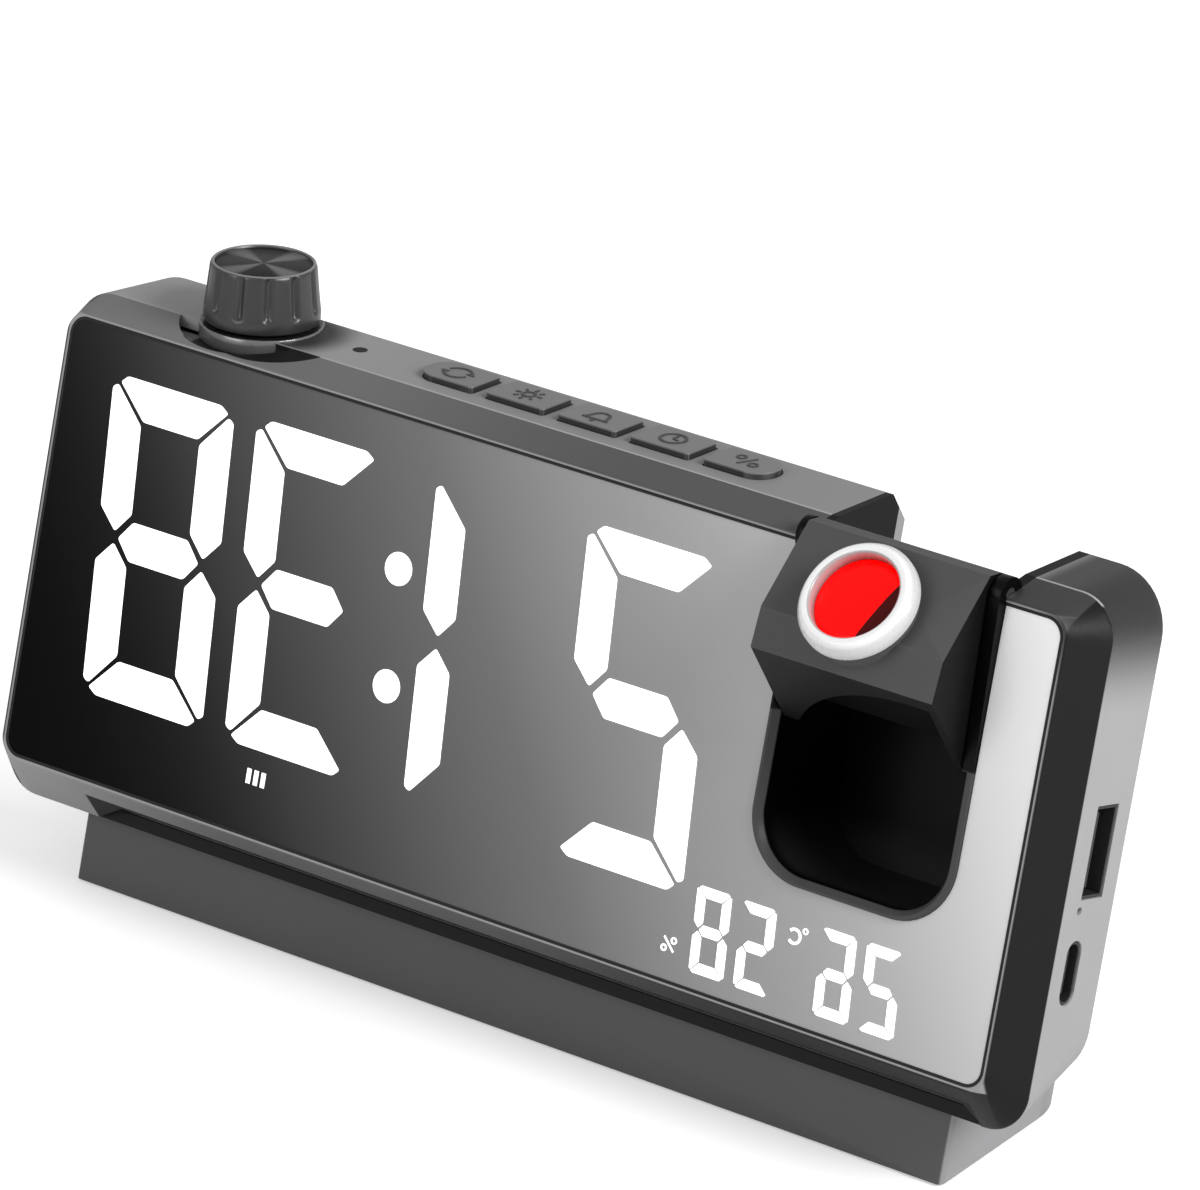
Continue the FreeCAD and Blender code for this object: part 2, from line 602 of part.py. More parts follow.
head_lid = box(("head_left + head_wall + lid_gap", "head_right - head_wall - lid_gap"),
               ("heel_y - head_wall", "heel_y"), ("room_low + lid_gap", "room_high - lid_gap"))
piece("projector_head_cover", group(head_lid), "head")
pin_left = head_rod("well_left + lid_gap", "head_left + pin_length", "pin_r")
pin_right = head_rod("head_right - pin_length", "well_right - lid_gap", "pin_r")
piece("projector_hinge_pins", group(pin_left, pin_right))

# Lens: a white focus ring that turns on the boss and carries a red domed lens
ring_low = "boss_height + ring_gap"
ring_band = rod("z", ("0", "0", ring_low), "ring_r", "0.5 * ring_height")
ring_taper = taper(("0", "0", "(%s) + 0.5 * ring_height" % ring_low), "ring_r", "ring_front_r",
                   "0.5 * ring_height")
ring_bore = rod("z", ("0", "0", "0"), "ring_bore_r", "3 * ring_height")
piece("focus_ring", cut(fuse(ring_band, ring_taper), ring_bore), "lens")
lens_disc = rod("z", ("0", "0", ring_low), "ring_bore_r", "lens_thick")
dome_ball = doc.addObject("Part::Sphere", "ball")
dome_ball.setExpression("Radius", bound("(ring_bore_r ^ 2 + lens_dome ^ 2) / (2 * lens_dome)"))
put(dome_ball, "0", "0", "(%s) + lens_thick + lens_dome - (ring_bore_r ^ 2 + lens_dome ^ 2)"
    " / (2 * lens_dome)" % ring_low)
dome_limit = rod("z", ("0", "0", "(%s) + lens_thick" % ring_low), "ring_bore_r", "2 * lens_dome")
piece("projection_lens", fuse(lens_disc, overlap(dome_ball, dome_limit)), "lens")
barrel_tube = rod("z", ("0", "0", "-barrel_length"), "barrel_r", "barrel_length + boss_height")
barrel_hole = rod("z", ("0", "0", "-2 * barrel_length"), "barrel_r - barrel_wall",
                  "4 * barrel_length")
piece("lens_barrel", cut(barrel_tube, barrel_hole), "lens")
piece("projector_film", group(rod("z", ("0", "0", "-barrel_length + 1"),
                                  "barrel_r - barrel_wall", "disc_thick")), "lens")
lamp = rod("z", ("0", "0", "-barrel_length"), "barrel_r - barrel_wall", "disc_thick")
piece("projector_lamp", group(lamp), "lens")

# Knob: a fluted turning knob on a shaft, over a fixed collar
knob_body = fuse(rod("z", ("0", "0", "knob_lift"), "knob_r", "knob_band"),
                 taper(("0", "0", "knob_lift + knob_band"), "knob_r", "knob_top_r",
                       "knob_height - knob_band - knob_bevel"),
                 taper(("0", "0", "knob_lift + knob_height - knob_bevel"), "knob_top_r",
                       "knob_top_r - knob_bevel", "knob_bevel"))
dish = rod("z", ("0", "0", "knob_lift + knob_height - dish_depth"), "knob_top_r - 2 * knob_bevel",
           "2 * dish_depth")


def flute(number):
    """One rounded groove down the side of the knob, tilted with its taper."""
    groove = rod("z", ("0", "0", "0"), "flute_r", "knob_height")
    toe = doc.addObject("Part::Sphere", "toe")
    toe.setExpression("Radius", bound("flute_r"))
    slot = fuse(groove, toe)
    angle = 360.0 * number / SIZES["flute_count"]
    lean = math.degrees(math.atan2(amount("knob_r - knob_top_r"),
                                   amount("knob_height - knob_band - knob_bevel")))
    radius = amount("knob_r + 0.2 * flute_r")
    foot_of_flute = Vector(radius * math.cos(math.radians(angle)),
                           radius * math.sin(math.radians(angle)),
                           amount("knob_lift + knob_band + 2 * flute_r"))
    slot.Placement = Placement(foot_of_flute,
                               Rotation(Vector(0, 0, 1), angle) * Rotation(Vector(0, 1, 0), -lean))
    return slot


flutes = [flute(number) for number in range(int(SIZES["flute_count"]))]
shaft_socket = rod("z", ("0", "0", "0"), "shaft_r", "knob_lift + 0.6 * knob_height")
piece("control_knob", cut(knob_body, dish, fuse(*flutes), shaft_socket), "knob")
shaft_low = "-collar_drop - 0.5 * control_height"
piece("knob_shaft", group(rod("z", ("0", "0", shaft_low), "shaft_r",
                              "knob_lift + 0.6 * knob_height - (%s)" % shaft_low)), "knob")
collar = cut(overlap(rod("z", ("0", "0", "-collar_drop"), "collar_r", "collar_drop + collar_rise"),
                     collar_limit()),
             rod("z", ("0", "0", "-2 * collar_drop"), "shaft_r + shaft_gap", "4 * collar_drop"))
piece("knob_collar", collar, "knob")
half_control = "0.5 * control_width"
control_top = "-collar_drop - control_gap"
control_case = cut(box(("-(%s)" % half_control, half_control),
                       ("-0.4 * control_width", "0.4 * control_width"),
                       ("(%s) - control_height" % control_top, control_top)),
                   rod("z", ("0", "0", shaft_low), "shaft_r + shaft_gap", "2 * control_height"))
bushing = cut(rod("z", ("0", "0", control_top), "shaft_r + 1", "-collar_drop - (%s)" % control_top),
              rod("z", ("0", "0", shaft_low), "shaft_r + shaft_gap", "2 * control_height"))
piece("rotary_control", fuse(control_case, bushing), "knob")

# Push buttons: five caps in wells along the top, each over a tact switch on one board
switches = []
for number in range(int(SIZES["button_count"])):
    flange_top = "-wall_thick - button_gap"
    flange_low = "%s - button_flange" % flange_top
    cap = button_prism(number, "0", "%s - button_skirt" % flange_top, "button_rise")
    flange = button_prism(number, "button_flange", flange_low, flange_top)
    middle = "button_first_x + %d * button_pitch + 0.5 * button_width" % number
    stem = box(("%s - 0.5 * stem_width" % middle, "%s + 0.5 * stem_width" % middle),
               ("%s - 0.5 * stem_width" % ROW_MIDDLE, "%s + 0.5 * stem_width" % ROW_MIDDLE),
               ("%s - stem_length" % flange_low, flange_low))
    piece("button_%d" % (number + 1), fuse(cap, flange, stem), "top")
    switches.append(box(("%s - 0.5 * switch_width" % middle, "%s + 0.5 * switch_width" % middle),
                        ("%s - 0.5 * switch_width" % ROW_MIDDLE,
                         "%s + 0.5 * switch_width" % ROW_MIDDLE),
                        ("(%s) - switch_height" % SWITCH_TOP, SWITCH_TOP)))
piece("tact_switches", group(*switches), "top")
button_board = box(("button_first_x - board_reach", "%s + board_reach" % ROW_END),
                   ("button_near - button_flange", "button_far + button_flange"),
                   ("(%s) - switch_height - board_thick" % SWITCH_TOP,
                    "(%s) - switch_height" % SWITCH_TOP))
piece("button_board", group(button_board), "top")

# Light sensor behind its pinhole, and the reset switch behind the one in the side
sensor = rod("z", ("sense_x", "sense_along", "-wall_thick - 2.2"), "1.5", "2")
piece("light_sensor", group(sensor), "top")
reset_switch = box(("crease_half - wall_thick - 3.2", "crease_half - wall_thick - 0.2"),
                   ("reset_y - 1.5", "reset_y + 1.5"), ("reset_z - 1.4", "reset_z + 1.4"))
piece("reset_switch", group(reset_switch))

# Display: a black mask behind the mirror, light windows on it, and the lamp board behind
mask_front = "mirror_thick + web_thick"
mask_half = "mirror_half - wall_thick - mask_gap"
mask_rise = "mirror_rise - wall_thick - mask_gap"


def display_sheet(front, thick, margin):
    """A flat sheet as big as the display, notched round the projector recess."""
    half = "%s - (%s)" % (mask_half, margin)
    rise = "%s - (%s)" % (mask_rise, margin)
    sheet_block = pad(rounded("front", front, ("-(%s)" % half, half), ("-(%s)" % rise, rise),
                              "mirror_corner"), (0, 1, 0), thick)
    notch = box(("well_left - 1", "mirror_half"), ("0", "well_depth"),
                ("-(well_bottom + 1)", "mirror_half"))
    return cut(sheet_block, notch)


piece("display_mask", display_sheet(mask_front, "mask_thick", "0"))
lamps_front = "%s + mask_thick" % mask_front

# Light windows: seven leaning bars to a digit, each a diffuser on the mask's front face
INNER = "(digit_half - digit_bar)"
HALF_BAR = "(0.5 * digit_bar)"
LEVEL_BARS = {
    "upper": [("-(digit_half - 2 * bar_gap)", "digit_rise"), ("digit_half - 2 * bar_gap", "digit_rise"),
              (INNER + " - bar_gap", "digit_rise - digit_bar"),
              ("-%s + bar_gap" % INNER, "digit_rise - digit_bar")],
    "middle": [("-(digit_half - bar_tip)", "0"), ("-%s" % INNER, HALF_BAR), (INNER, HALF_BAR),
               ("digit_half - bar_tip", "0"), (INNER, "-" + HALF_BAR),
               ("-%s" % INNER, "-" + HALF_BAR)],
}
SIDE_BAR = [("digit_half", "digit_rise - 2 * bar_gap"), (INNER, "digit_rise - digit_bar - bar_gap"),
            (INNER, HALF_BAR + " + bar_gap"), ("digit_half - bar_tip + bar_gap", "bar_gap"),
            ("digit_half", HALF_BAR + " + bar_gap")]
BARS = [(LEVEL_BARS["upper"], 1, 1), (LEVEL_BARS["upper"], 1, -1), (LEVEL_BARS["middle"], 1, 1)]
BARS += [(SIDE_BAR, across, upward) for across in (-1, 1) for upward in (-1, 1)]


def digit(x, z, scale):
    """The seven windows of one digit, leaning as its strokes do."""
    windows = []
    for points, across, upward in BARS:
        outline = []
        for u, v in points:
            rise = "%d * (%s) * (%s)" % (upward, scale, v)
            outline.append(("%s + %d * (%s) * (%s) - digit_slant * %s" % (x, across, scale, u, rise),
                            "%s + %s" % (z, rise)))
        sketch = polygon("front", "%s - window_thick" % mask_front, outline)
        windows.append(pad(sketch, (0, 1, 0), "window_thick"))
    return windows


big_digits = []
for start in ("digit_x", "digit_x + digit_pitch", "digit_x + hour_gap",
              "digit_x + hour_gap + digit_pitch"):
    big_digits += digit(start, "digit_z", "1")
piece("time_windows", group(*big_digits))
small_digits = []
for start in ("humid_x", "humid_x + small_pitch", "warm_x", "warm_x + small_pitch"):
    small_digits += digit(start, "small_z", "small_scale")
piece("small_windows", group(*small_digits))
dots = [rod("y", ("dot_x - %d * digit_slant * dot_rise" % side, "%s - window_thick" % mask_front,
                  "digit_z + %d * dot_rise" % side), "dot_r", "window_thick") for side in (-1, 1)]
piece("colon_windows", group(*dots))
piece("display_board", display_sheet(lamps_front, "board_thick", "board_inset"))

# Boards behind the display, joined by a header
main_front = "%s + board_thick + board_space" % lamps_front
header = box(("board_left + 6", "board_right - 12"), ("%s + board_thick" % lamps_front, main_front),
             ("board_low + 1", "board_low + 6"))
piece("board_header", group(header))
main_board = box(("board_left", "board_right"), (main_front, "%s + board_thick" % main_front),
                 ("board_low", "board_high"))
piece("main_board", group(main_board))
chips = [box(("board_left + %d" % left, "board_left + %d" % (left + wide)),
             ("%s + board_thick" % main_front, "%s + board_thick + %s" % (main_front, tall)),
             ("board_high - %d" % (down + high), "board_high - %d" % down))
         for left, wide, tall, down, high in ((62, 12, "1.6", 8, 12), (80, 5, "1.5", 6, 4),
                                              (66, 3, "3", 28, 9), (80, 6, "2", 26, 6))]
piece("board_chips", group(*chips))
piece("alarm_speaker", group(rod("y", ("speaker_x", "%s + board_thick" % lamps_front, "speaker_z"),
                                 "speaker_r", "speaker_height")))

# Backup cell in a round holder between the main board and the rear cover, under a round door
holder_low = "%s + board_thick" % main_front
holder_length = "case_depth + cover_dome - wall_thick - (%s)" % holder_low
holder = cut(rod("y", ("cell_x", holder_low, "cell_z"), "cell_r + holder_wall", holder_length),
             rod("y", ("cell_x", "(%s) + holder_wall" % holder_low, "cell_z"), "cell_r + 0.1",
                 "2 * cell_r"))
piece("cell_holder", holder)
piece("coin_cell", group(rod("y", ("cell_x", "(%s) + holder_wall" % holder_low, "cell_z"),
                             "cell_r", "cell_thick")))
door_front = "case_depth + cover_dome - door_thick"
door = rod("y", ("cell_x", door_front, "cell_z"), "cell_r + 3 * holder_wall - door_gap",
           "door_thick")
door_ring = rod("y", ("cell_x", "case_depth + cover_dome - wall_thick", "cell_z"),
                "cell_r + 3 * holder_wall - door_gap", "wall_thick - door_thick")
door_slot = box(("cell_x - 6", "cell_x + 6"),
                ("case_depth + cover_dome - 0.6", "case_depth + 2 * cover_dome"),
                ("cell_z - 0.9", "cell_z + 0.9"))
piece("cell_door", cut(fuse(door, door_ring), door_slot))

# Side sockets on a small board inside the right wall
socket_mouth = "crease_half - shell_thick"
a_y = ("usb_a_y - 0.5 * usb_a_thick", "usb_a_y + 0.5 * usb_a_thick")
a_z = ("usb_a_z - 0.5 * usb_a_height", "usb_a_z + 0.5 * usb_a_height")
a_shell = cut(box(("%s - usb_a_depth" % socket_mouth, socket_mouth), a_y, a_z),
              box(("%s - usb_a_depth + 1" % socket_mouth, "crease_half + 1"),
                  ("%s + shell_thick" % a_y[0], "%s - shell_thick" % a_y[1]),
                  ("%s + shell_thick" % a_z[0], "%s - shell_thick" % a_z[1])))
piece("usb_a_shell", a_shell)
a_tongue = box(("%s - usb_a_depth + 1" % socket_mouth, "%s - 1" % socket_mouth),
               ("%s + shell_thick + 0.4" % a_y[0], "usb_a_y - 0.1"),
               ("%s + 1.2" % a_z[0], "%s - 1.2" % a_z[1]))
piece("usb_a_tongue", group(a_tongue))
c_solid = usb_c_solid("%s - usb_c_depth" % socket_mouth, "usb_c_depth", "0")
c_hollow = usb_c_solid("%s - usb_c_depth + 1" % socket_mouth, "usb_c_depth + 1", "-shell_thick")
board_face = "usb_a_y + 0.5 * usb_a_thick"
c_bracket = box(("%s - usb_c_depth" % socket_mouth, "%s - usb_c_depth + 4" % socket_mouth),
                ("usb_c_y + 0.5 * usb_c_thick - 0.3", board_face), ("usb_c_z - 2", "usb_c_z + 2"))
piece("usb_c_shell", cut(fuse(c_solid, c_bracket), c_hollow))
c_tongue = box(("%s - usb_c_depth + 1" % socket_mouth, "%s - 0.8" % socket_mouth),
               ("usb_c_y - 0.35", "usb_c_y + 0.35"), ("usb_c_z - 3.2", "usb_c_z + 3.2"))
piece("usb_c_tongue", group(c_tongue))
side_board = box(("well_right + 1", "back_half - wall_thick"), (board_face, "%s + board_thick" % board_face),
                 ("usb_c_z - 6", "%s + 1" % a_z[1]))
piece("socket_board", group(side_board))

# Foot: a hollow plinth under the case, its underside closed by a plate with rubber pads
foot_back = "foot_front_y + foot_depth * cos(lean_angle)"
foot_low = "-(foot_front_z + foot_height)"
foot_nose = pad(rounded("top", foot_low, ("-foot_half", "foot_half"),
                        ("foot_front_y", "foot_front_y + 0.6 * foot_depth"), "foot_edge"),
                (0, 0, 1), "3 * foot_height")
foot_tail = pad(rounded("top", foot_low, ("-foot_half", "foot_half"),
                        ("foot_front_y + 0.2 * foot_depth", foot_back), "foot_corner"),
                (0, 0, 1), "3 * foot_height")
foot_slab = seat(group(box(("-2 * foot_half", "2 * foot_half"), ("-foot_depth", "2 * foot_depth"),
                           ("0", "foot_height"))), "foot")
foot_hollow = seat(group(box(("-(foot_half - foot_wall)", "foot_half - foot_wall"),
                             ("foot_wall", "foot_depth - foot_wall"), ("-1", "foot_room"))), "foot")
foot_body = cut(overlap(fuse(foot_nose, foot_tail), foot_slab),
                case_solid(), dome("0", "case_depth", "cover_dome"), foot_hollow, foot_holes)
piece("foot", foot_body)
plate = box(("-(foot_half - foot_wall - lid_gap)", "foot_half - foot_wall - lid_gap"),
            ("foot_wall + lid_gap", "foot_depth - foot_wall - lid_gap"),
            ("plate_recess", "plate_recess + plate_thick"))
piece("foot_plate", group(plate), "foot")
pad_low = "plate_recess - pad_thick"
pads = [rod("z", (side + "(foot_half - pad_inset)", y, pad_low), "pad_r", "pad_thick")
        for side in ("-", "")
        for y in ("foot_wall + pad_r + 1.5", "foot_depth - foot_wall - pad_r - 1.5")]
piece("rubber_pads", group(*pads), "foot")

# Screws: four hold the rear cover and two hold the foot
cover_screws = [fuse(shank, head) for shank, head in zip(
    corner_rods(screw_tip, "screw_r", "screw_length"),
    corner_rods("case_depth + cover_dome - screw_head", "screw_head_r - 0.1", "screw_head - 0.2"))]
piece("cover_screws", group(*cover_screws))
foot_screws = [fuse(shank, head) for shank, head in zip(
    foot_rods("foot_room", "screw_r", "foot_height + 2 - foot_room"),
    foot_rods("foot_room - screw_head", "screw_head_r", "screw_head"))]
piece("foot_screws", group(*foot_screws), "foot")

# Set every piece in its frame, lean the case back, and rest the pads on Z = 0
lean = Rotation(Vector(1, 0, 0), -SIZES["lean_angle"])


def frame_placement(frame):
    x, y, z, tilt = [amount(text) for text in FRAMES[frame]]
    return Placement(Vector(x, y, z), Rotation(Vector(1, 0, 0), tilt))


def place_all(offset):
    for solid, frame in pieces:
        solid.Placement = Placement(offset, lean).multiply(frame_placement(frame))
    doc.recompute()


place_all(Vector())
whole = Part.makeCompound([solid.Shape for solid, frame in pieces]).optimalBoundingBox(False)
shift = Vector(-0.5 * (whole.XMin + whole.XMax), -0.5 * (whole.YMin + whole.YMax), -whole.ZMin)
place_all(shift)
for thing in doc.Objects:
    if "Invalid" in thing.State or "Error" in thing.State:
        raise RuntimeError("%s did not compute" % thing.Name)
for solid, frame in pieces:
    if solid.Shape.isNull() or not solid.Shape.isValid():
        raise RuntimeError("%s has no valid shape" % solid.Label)

os.makedirs("parts", exist_ok=True)
for solid, frame in pieces:
    solid.Shape.exportStep("parts/%s.step" % solid.Label)
print("stood at %.4f %.4f %.4f, %d pieces" % (shift.x, shift.y, shift.z, len(pieces)))
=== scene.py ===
import bpy
import bmesh
import math
from mathutils import Matrix, Quaternion, Vector


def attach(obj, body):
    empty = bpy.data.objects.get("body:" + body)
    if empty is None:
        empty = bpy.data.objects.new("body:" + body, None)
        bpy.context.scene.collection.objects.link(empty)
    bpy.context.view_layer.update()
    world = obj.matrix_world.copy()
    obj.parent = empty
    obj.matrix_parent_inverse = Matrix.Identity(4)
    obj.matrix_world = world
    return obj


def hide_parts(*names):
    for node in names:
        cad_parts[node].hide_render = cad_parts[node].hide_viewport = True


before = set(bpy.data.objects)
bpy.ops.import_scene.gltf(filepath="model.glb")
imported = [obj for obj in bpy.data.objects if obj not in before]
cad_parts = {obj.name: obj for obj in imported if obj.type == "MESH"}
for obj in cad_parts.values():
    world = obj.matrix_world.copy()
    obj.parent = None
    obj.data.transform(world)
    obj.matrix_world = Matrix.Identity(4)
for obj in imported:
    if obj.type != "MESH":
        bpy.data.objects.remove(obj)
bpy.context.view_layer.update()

# The camera: a long lens, well to the right of the clock and above it, with a slight roll.
# Its place comes from the straight edges of the mirror and the case.
EYE = Vector((0.7545, -0.9328, 0.6532))
LOOK = Vector((-0.5609, 0.7028, -0.4376))
ROLL = math.radians(-1.64)
scene = bpy.context.scene
lens_data = bpy.data.cameras.new("long_lens")
lens_data.sensor_width = 36.0
lens_data.lens = 270.0
lens_data.shift_x = -0.0079
lens_data.shift_y = -0.0226
camera = bpy.data.objects.new("camera", lens_data)
scene.collection.objects.link(camera)
camera.location = EYE
camera.rotation_mode = "QUATERNION"
camera.rotation_quaternion = LOOK.to_track_quat("-Z", "Y") @ Quaternion((0, 0, 1), ROLL)
scene.camera = camera
scene.view_settings.view_transform = "Standard"

# The room: a pale sweep under the clock, a soft white room round it, a broad lamp high on the
# right that lights the side wall and the top, and a weaker one from the front.
floor_mesh = bpy.data.meshes.new("sweep")
floor_form = bmesh.new()
bmesh.ops.create_grid(floor_form, x_segments=1, y_segments=1, size=4.0)
floor_form.to_mesh(floor_mesh)
floor_form.free()
sweep = bpy.data.objects.new("sweep", floor_mesh)
scene.collection.objects.link(sweep)
sweep_paint = bpy.data.materials.new("sweep_paper")
sweep_paint.use_nodes = True
sweep_tree = sweep_paint.node_tree
sweep_shader = sweep_tree.nodes["Principled BSDF"]
sweep_shader.inputs["Base Color"].default_value = (0.86, 0.86, 0.86, 1)
sweep_shader.inputs["Roughness"].default_value = 0.9
sweep_shader.inputs["Specular IOR Level"].default_value = 0.0
sweep_shader.inputs["Emission Color"].default_value = (1, 1, 1, 1)
ray_kind = sweep_tree.nodes.new("ShaderNodeLightPath")
seen_lift = sweep_tree.nodes.new("ShaderNodeMath")
seen_lift.operation = "MULTIPLY"
seen_lift.inputs[1].default_value = 0.35
sweep_tree.links.new(ray_kind.outputs["Is Camera Ray"], seen_lift.inputs[0])
sweep_tree.links.new(seen_lift.outputs[0], sweep_shader.inputs["Emission Strength"])
floor_mesh.materials.append(sweep_paint)

room = bpy.data.worlds.new("white_room")
scene.world = room
room.use_nodes = True
room_tree = room.node_tree
room_light = room_tree.nodes["Background"]
room_light.inputs["Color"].default_value = (1, 1, 1, 1)
room_ray = room_tree.nodes.new("ShaderNodeLightPath")
room_level = room_tree.nodes.new("ShaderNodeMapRange")
room_level.inputs["To Min"].default_value = 0.5
room_level.inputs["To Max"].default_value = 1.0
room_tree.links.new(room_ray.outputs["Is Camera Ray"], room_level.inputs["Value"])
room_tree.links.new(room_level.outputs["Result"], room_light.inputs["Strength"])


def hang_lamp(name, place, aim, width, power):
    lamp = bpy.data.lights.new(name, "AREA")
    lamp.size = width
    lamp.energy = power
    holder = bpy.data.objects.new(name, lamp)
    scene.collection.objects.link(holder)
    holder.location = place
    holder.rotation_mode = "QUATERNION"
    holder.rotation_quaternion = (Vector(aim) - Vector(place)).to_track_quat("-Z", "Y")


CLOCK_MIDDLE = (0.0, 0.0, 0.05)
hang_lamp("right_lamp", (1.3, 0.1, 0.9), CLOCK_MIDDLE, 0.7, 22.0)
hang_lamp("front_lamp", (-0.4, -1.3, 0.8), CLOCK_MIDDLE, 0.9, 7.0)

# The case: one grey moulding that leans back on the foot.  Its front is bevelled round the
# mirror, and its finish is a fine, slightly mottled satin.  The photograph's long soft shades
# are painted into that finish.
MM = 0.001
LEAN = math.radians(18.2)
CASE_ORIGIN = Vector((0.0, -0.0115871, 0.0542193))
ACROSS = Vector((1, 0, 0))
INWARD = Vector((0, math.cos(LEAN), -math.sin(LEAN)))
UPWARD = Vector((0, math.sin(LEAN), math.cos(LEAN)))


def in_case(x, y, z):
    """A place in the case's own leaning frame, in millimetres, as a place in the room."""
    return CASE_ORIGIN + MM * (x * ACROSS + y * INWARD + z * UPWARD)


def axes(origin, across, up, out):
    """A drawing frame: its x, y and z run along across, up and out."""
    turn = Matrix((across, up, out)).transposed().to_4x4()
    return Matrix.Translation(origin) @ turn


def build_moulded_skin():
    """Fine grain, soft mottling and a roughness that follows it, for every plastic."""
    group = bpy.data.node_groups.new("moulded_skin", "ShaderNodeTree")
    for name, kind in (("Colour", "Color"), ("Grain Size", "Float"), ("Mottle", "Float"),
                       ("Roughness", "Float")):
        group.interface.new_socket(name, in_out="INPUT", socket_type="NodeSocket" + kind)
    for name, kind in (("Colour", "Color"), ("Roughness", "Float"), ("Height", "Float")):
        group.interface.new_socket(name, in_out="OUTPUT", socket_type="NodeSocket" + kind)
    given = group.nodes.new("NodeGroupInput")
    result = group.nodes.new("NodeGroupOutput")
    place = group.nodes.new("ShaderNodeTexCoord")
    grain = group.nodes.new("ShaderNodeTexNoise")
    grain.inputs["Detail"].default_value = 3.0
    cloud = group.nodes.new("ShaderNodeTexNoise")
    cloud.inputs["Scale"].default_value = 45.0
    cloud.inputs["Detail"].default_value = 4.0
    for texture in (grain, cloud):
        group.links.new(place.outputs["Object"], texture.inputs["Vector"])
    group.links.new(given.outputs["Grain Size"], grain.inputs["Scale"])
    swing = group.nodes.new("ShaderNodeMath")
    swing.operation = "SUBTRACT"
    swing.inputs[1].default_value = 0.5
    group.links.new(cloud.outputs["Fac"], swing.inputs[0])
    shade = group.nodes.new("ShaderNodeMath")
    shade.operation = "MULTIPLY_ADD"
    shade.inputs[2].default_value = 1.0
    group.links.new(swing.outputs[0], shade.inputs[0])
    group.links.new(given.outputs["Mottle"], shade.inputs[1])
    tint = group.nodes.new("ShaderNodeVectorMath")
    tint.operation = "SCALE"
    group.links.new(given.outputs["Colour"], tint.inputs[0])
    group.links.new(shade.outputs[0], tint.inputs["Scale"])
    group.links.new(tint.outputs["Vector"], result.inputs["Colour"])
    worn = group.nodes.new("ShaderNodeMath")
    worn.operation = "MULTIPLY_ADD"
    worn.inputs[1].default_value = 0.12
    group.links.new(grain.outputs["Fac"], worn.inputs[0])
    group.links.new(given.outputs["Roughness"], worn.inputs[2])
    group.links.new(worn.outputs[0], result.inputs["Roughness"])
    group.links.new(grain.outputs["Fac"], result.inputs["Height"])
    return group


moulded_skin = build_moulded_skin()


def grey(level):
    """A grey with the faint cool cast of moulded plastic."""
    return (level, level, level * 1.02)


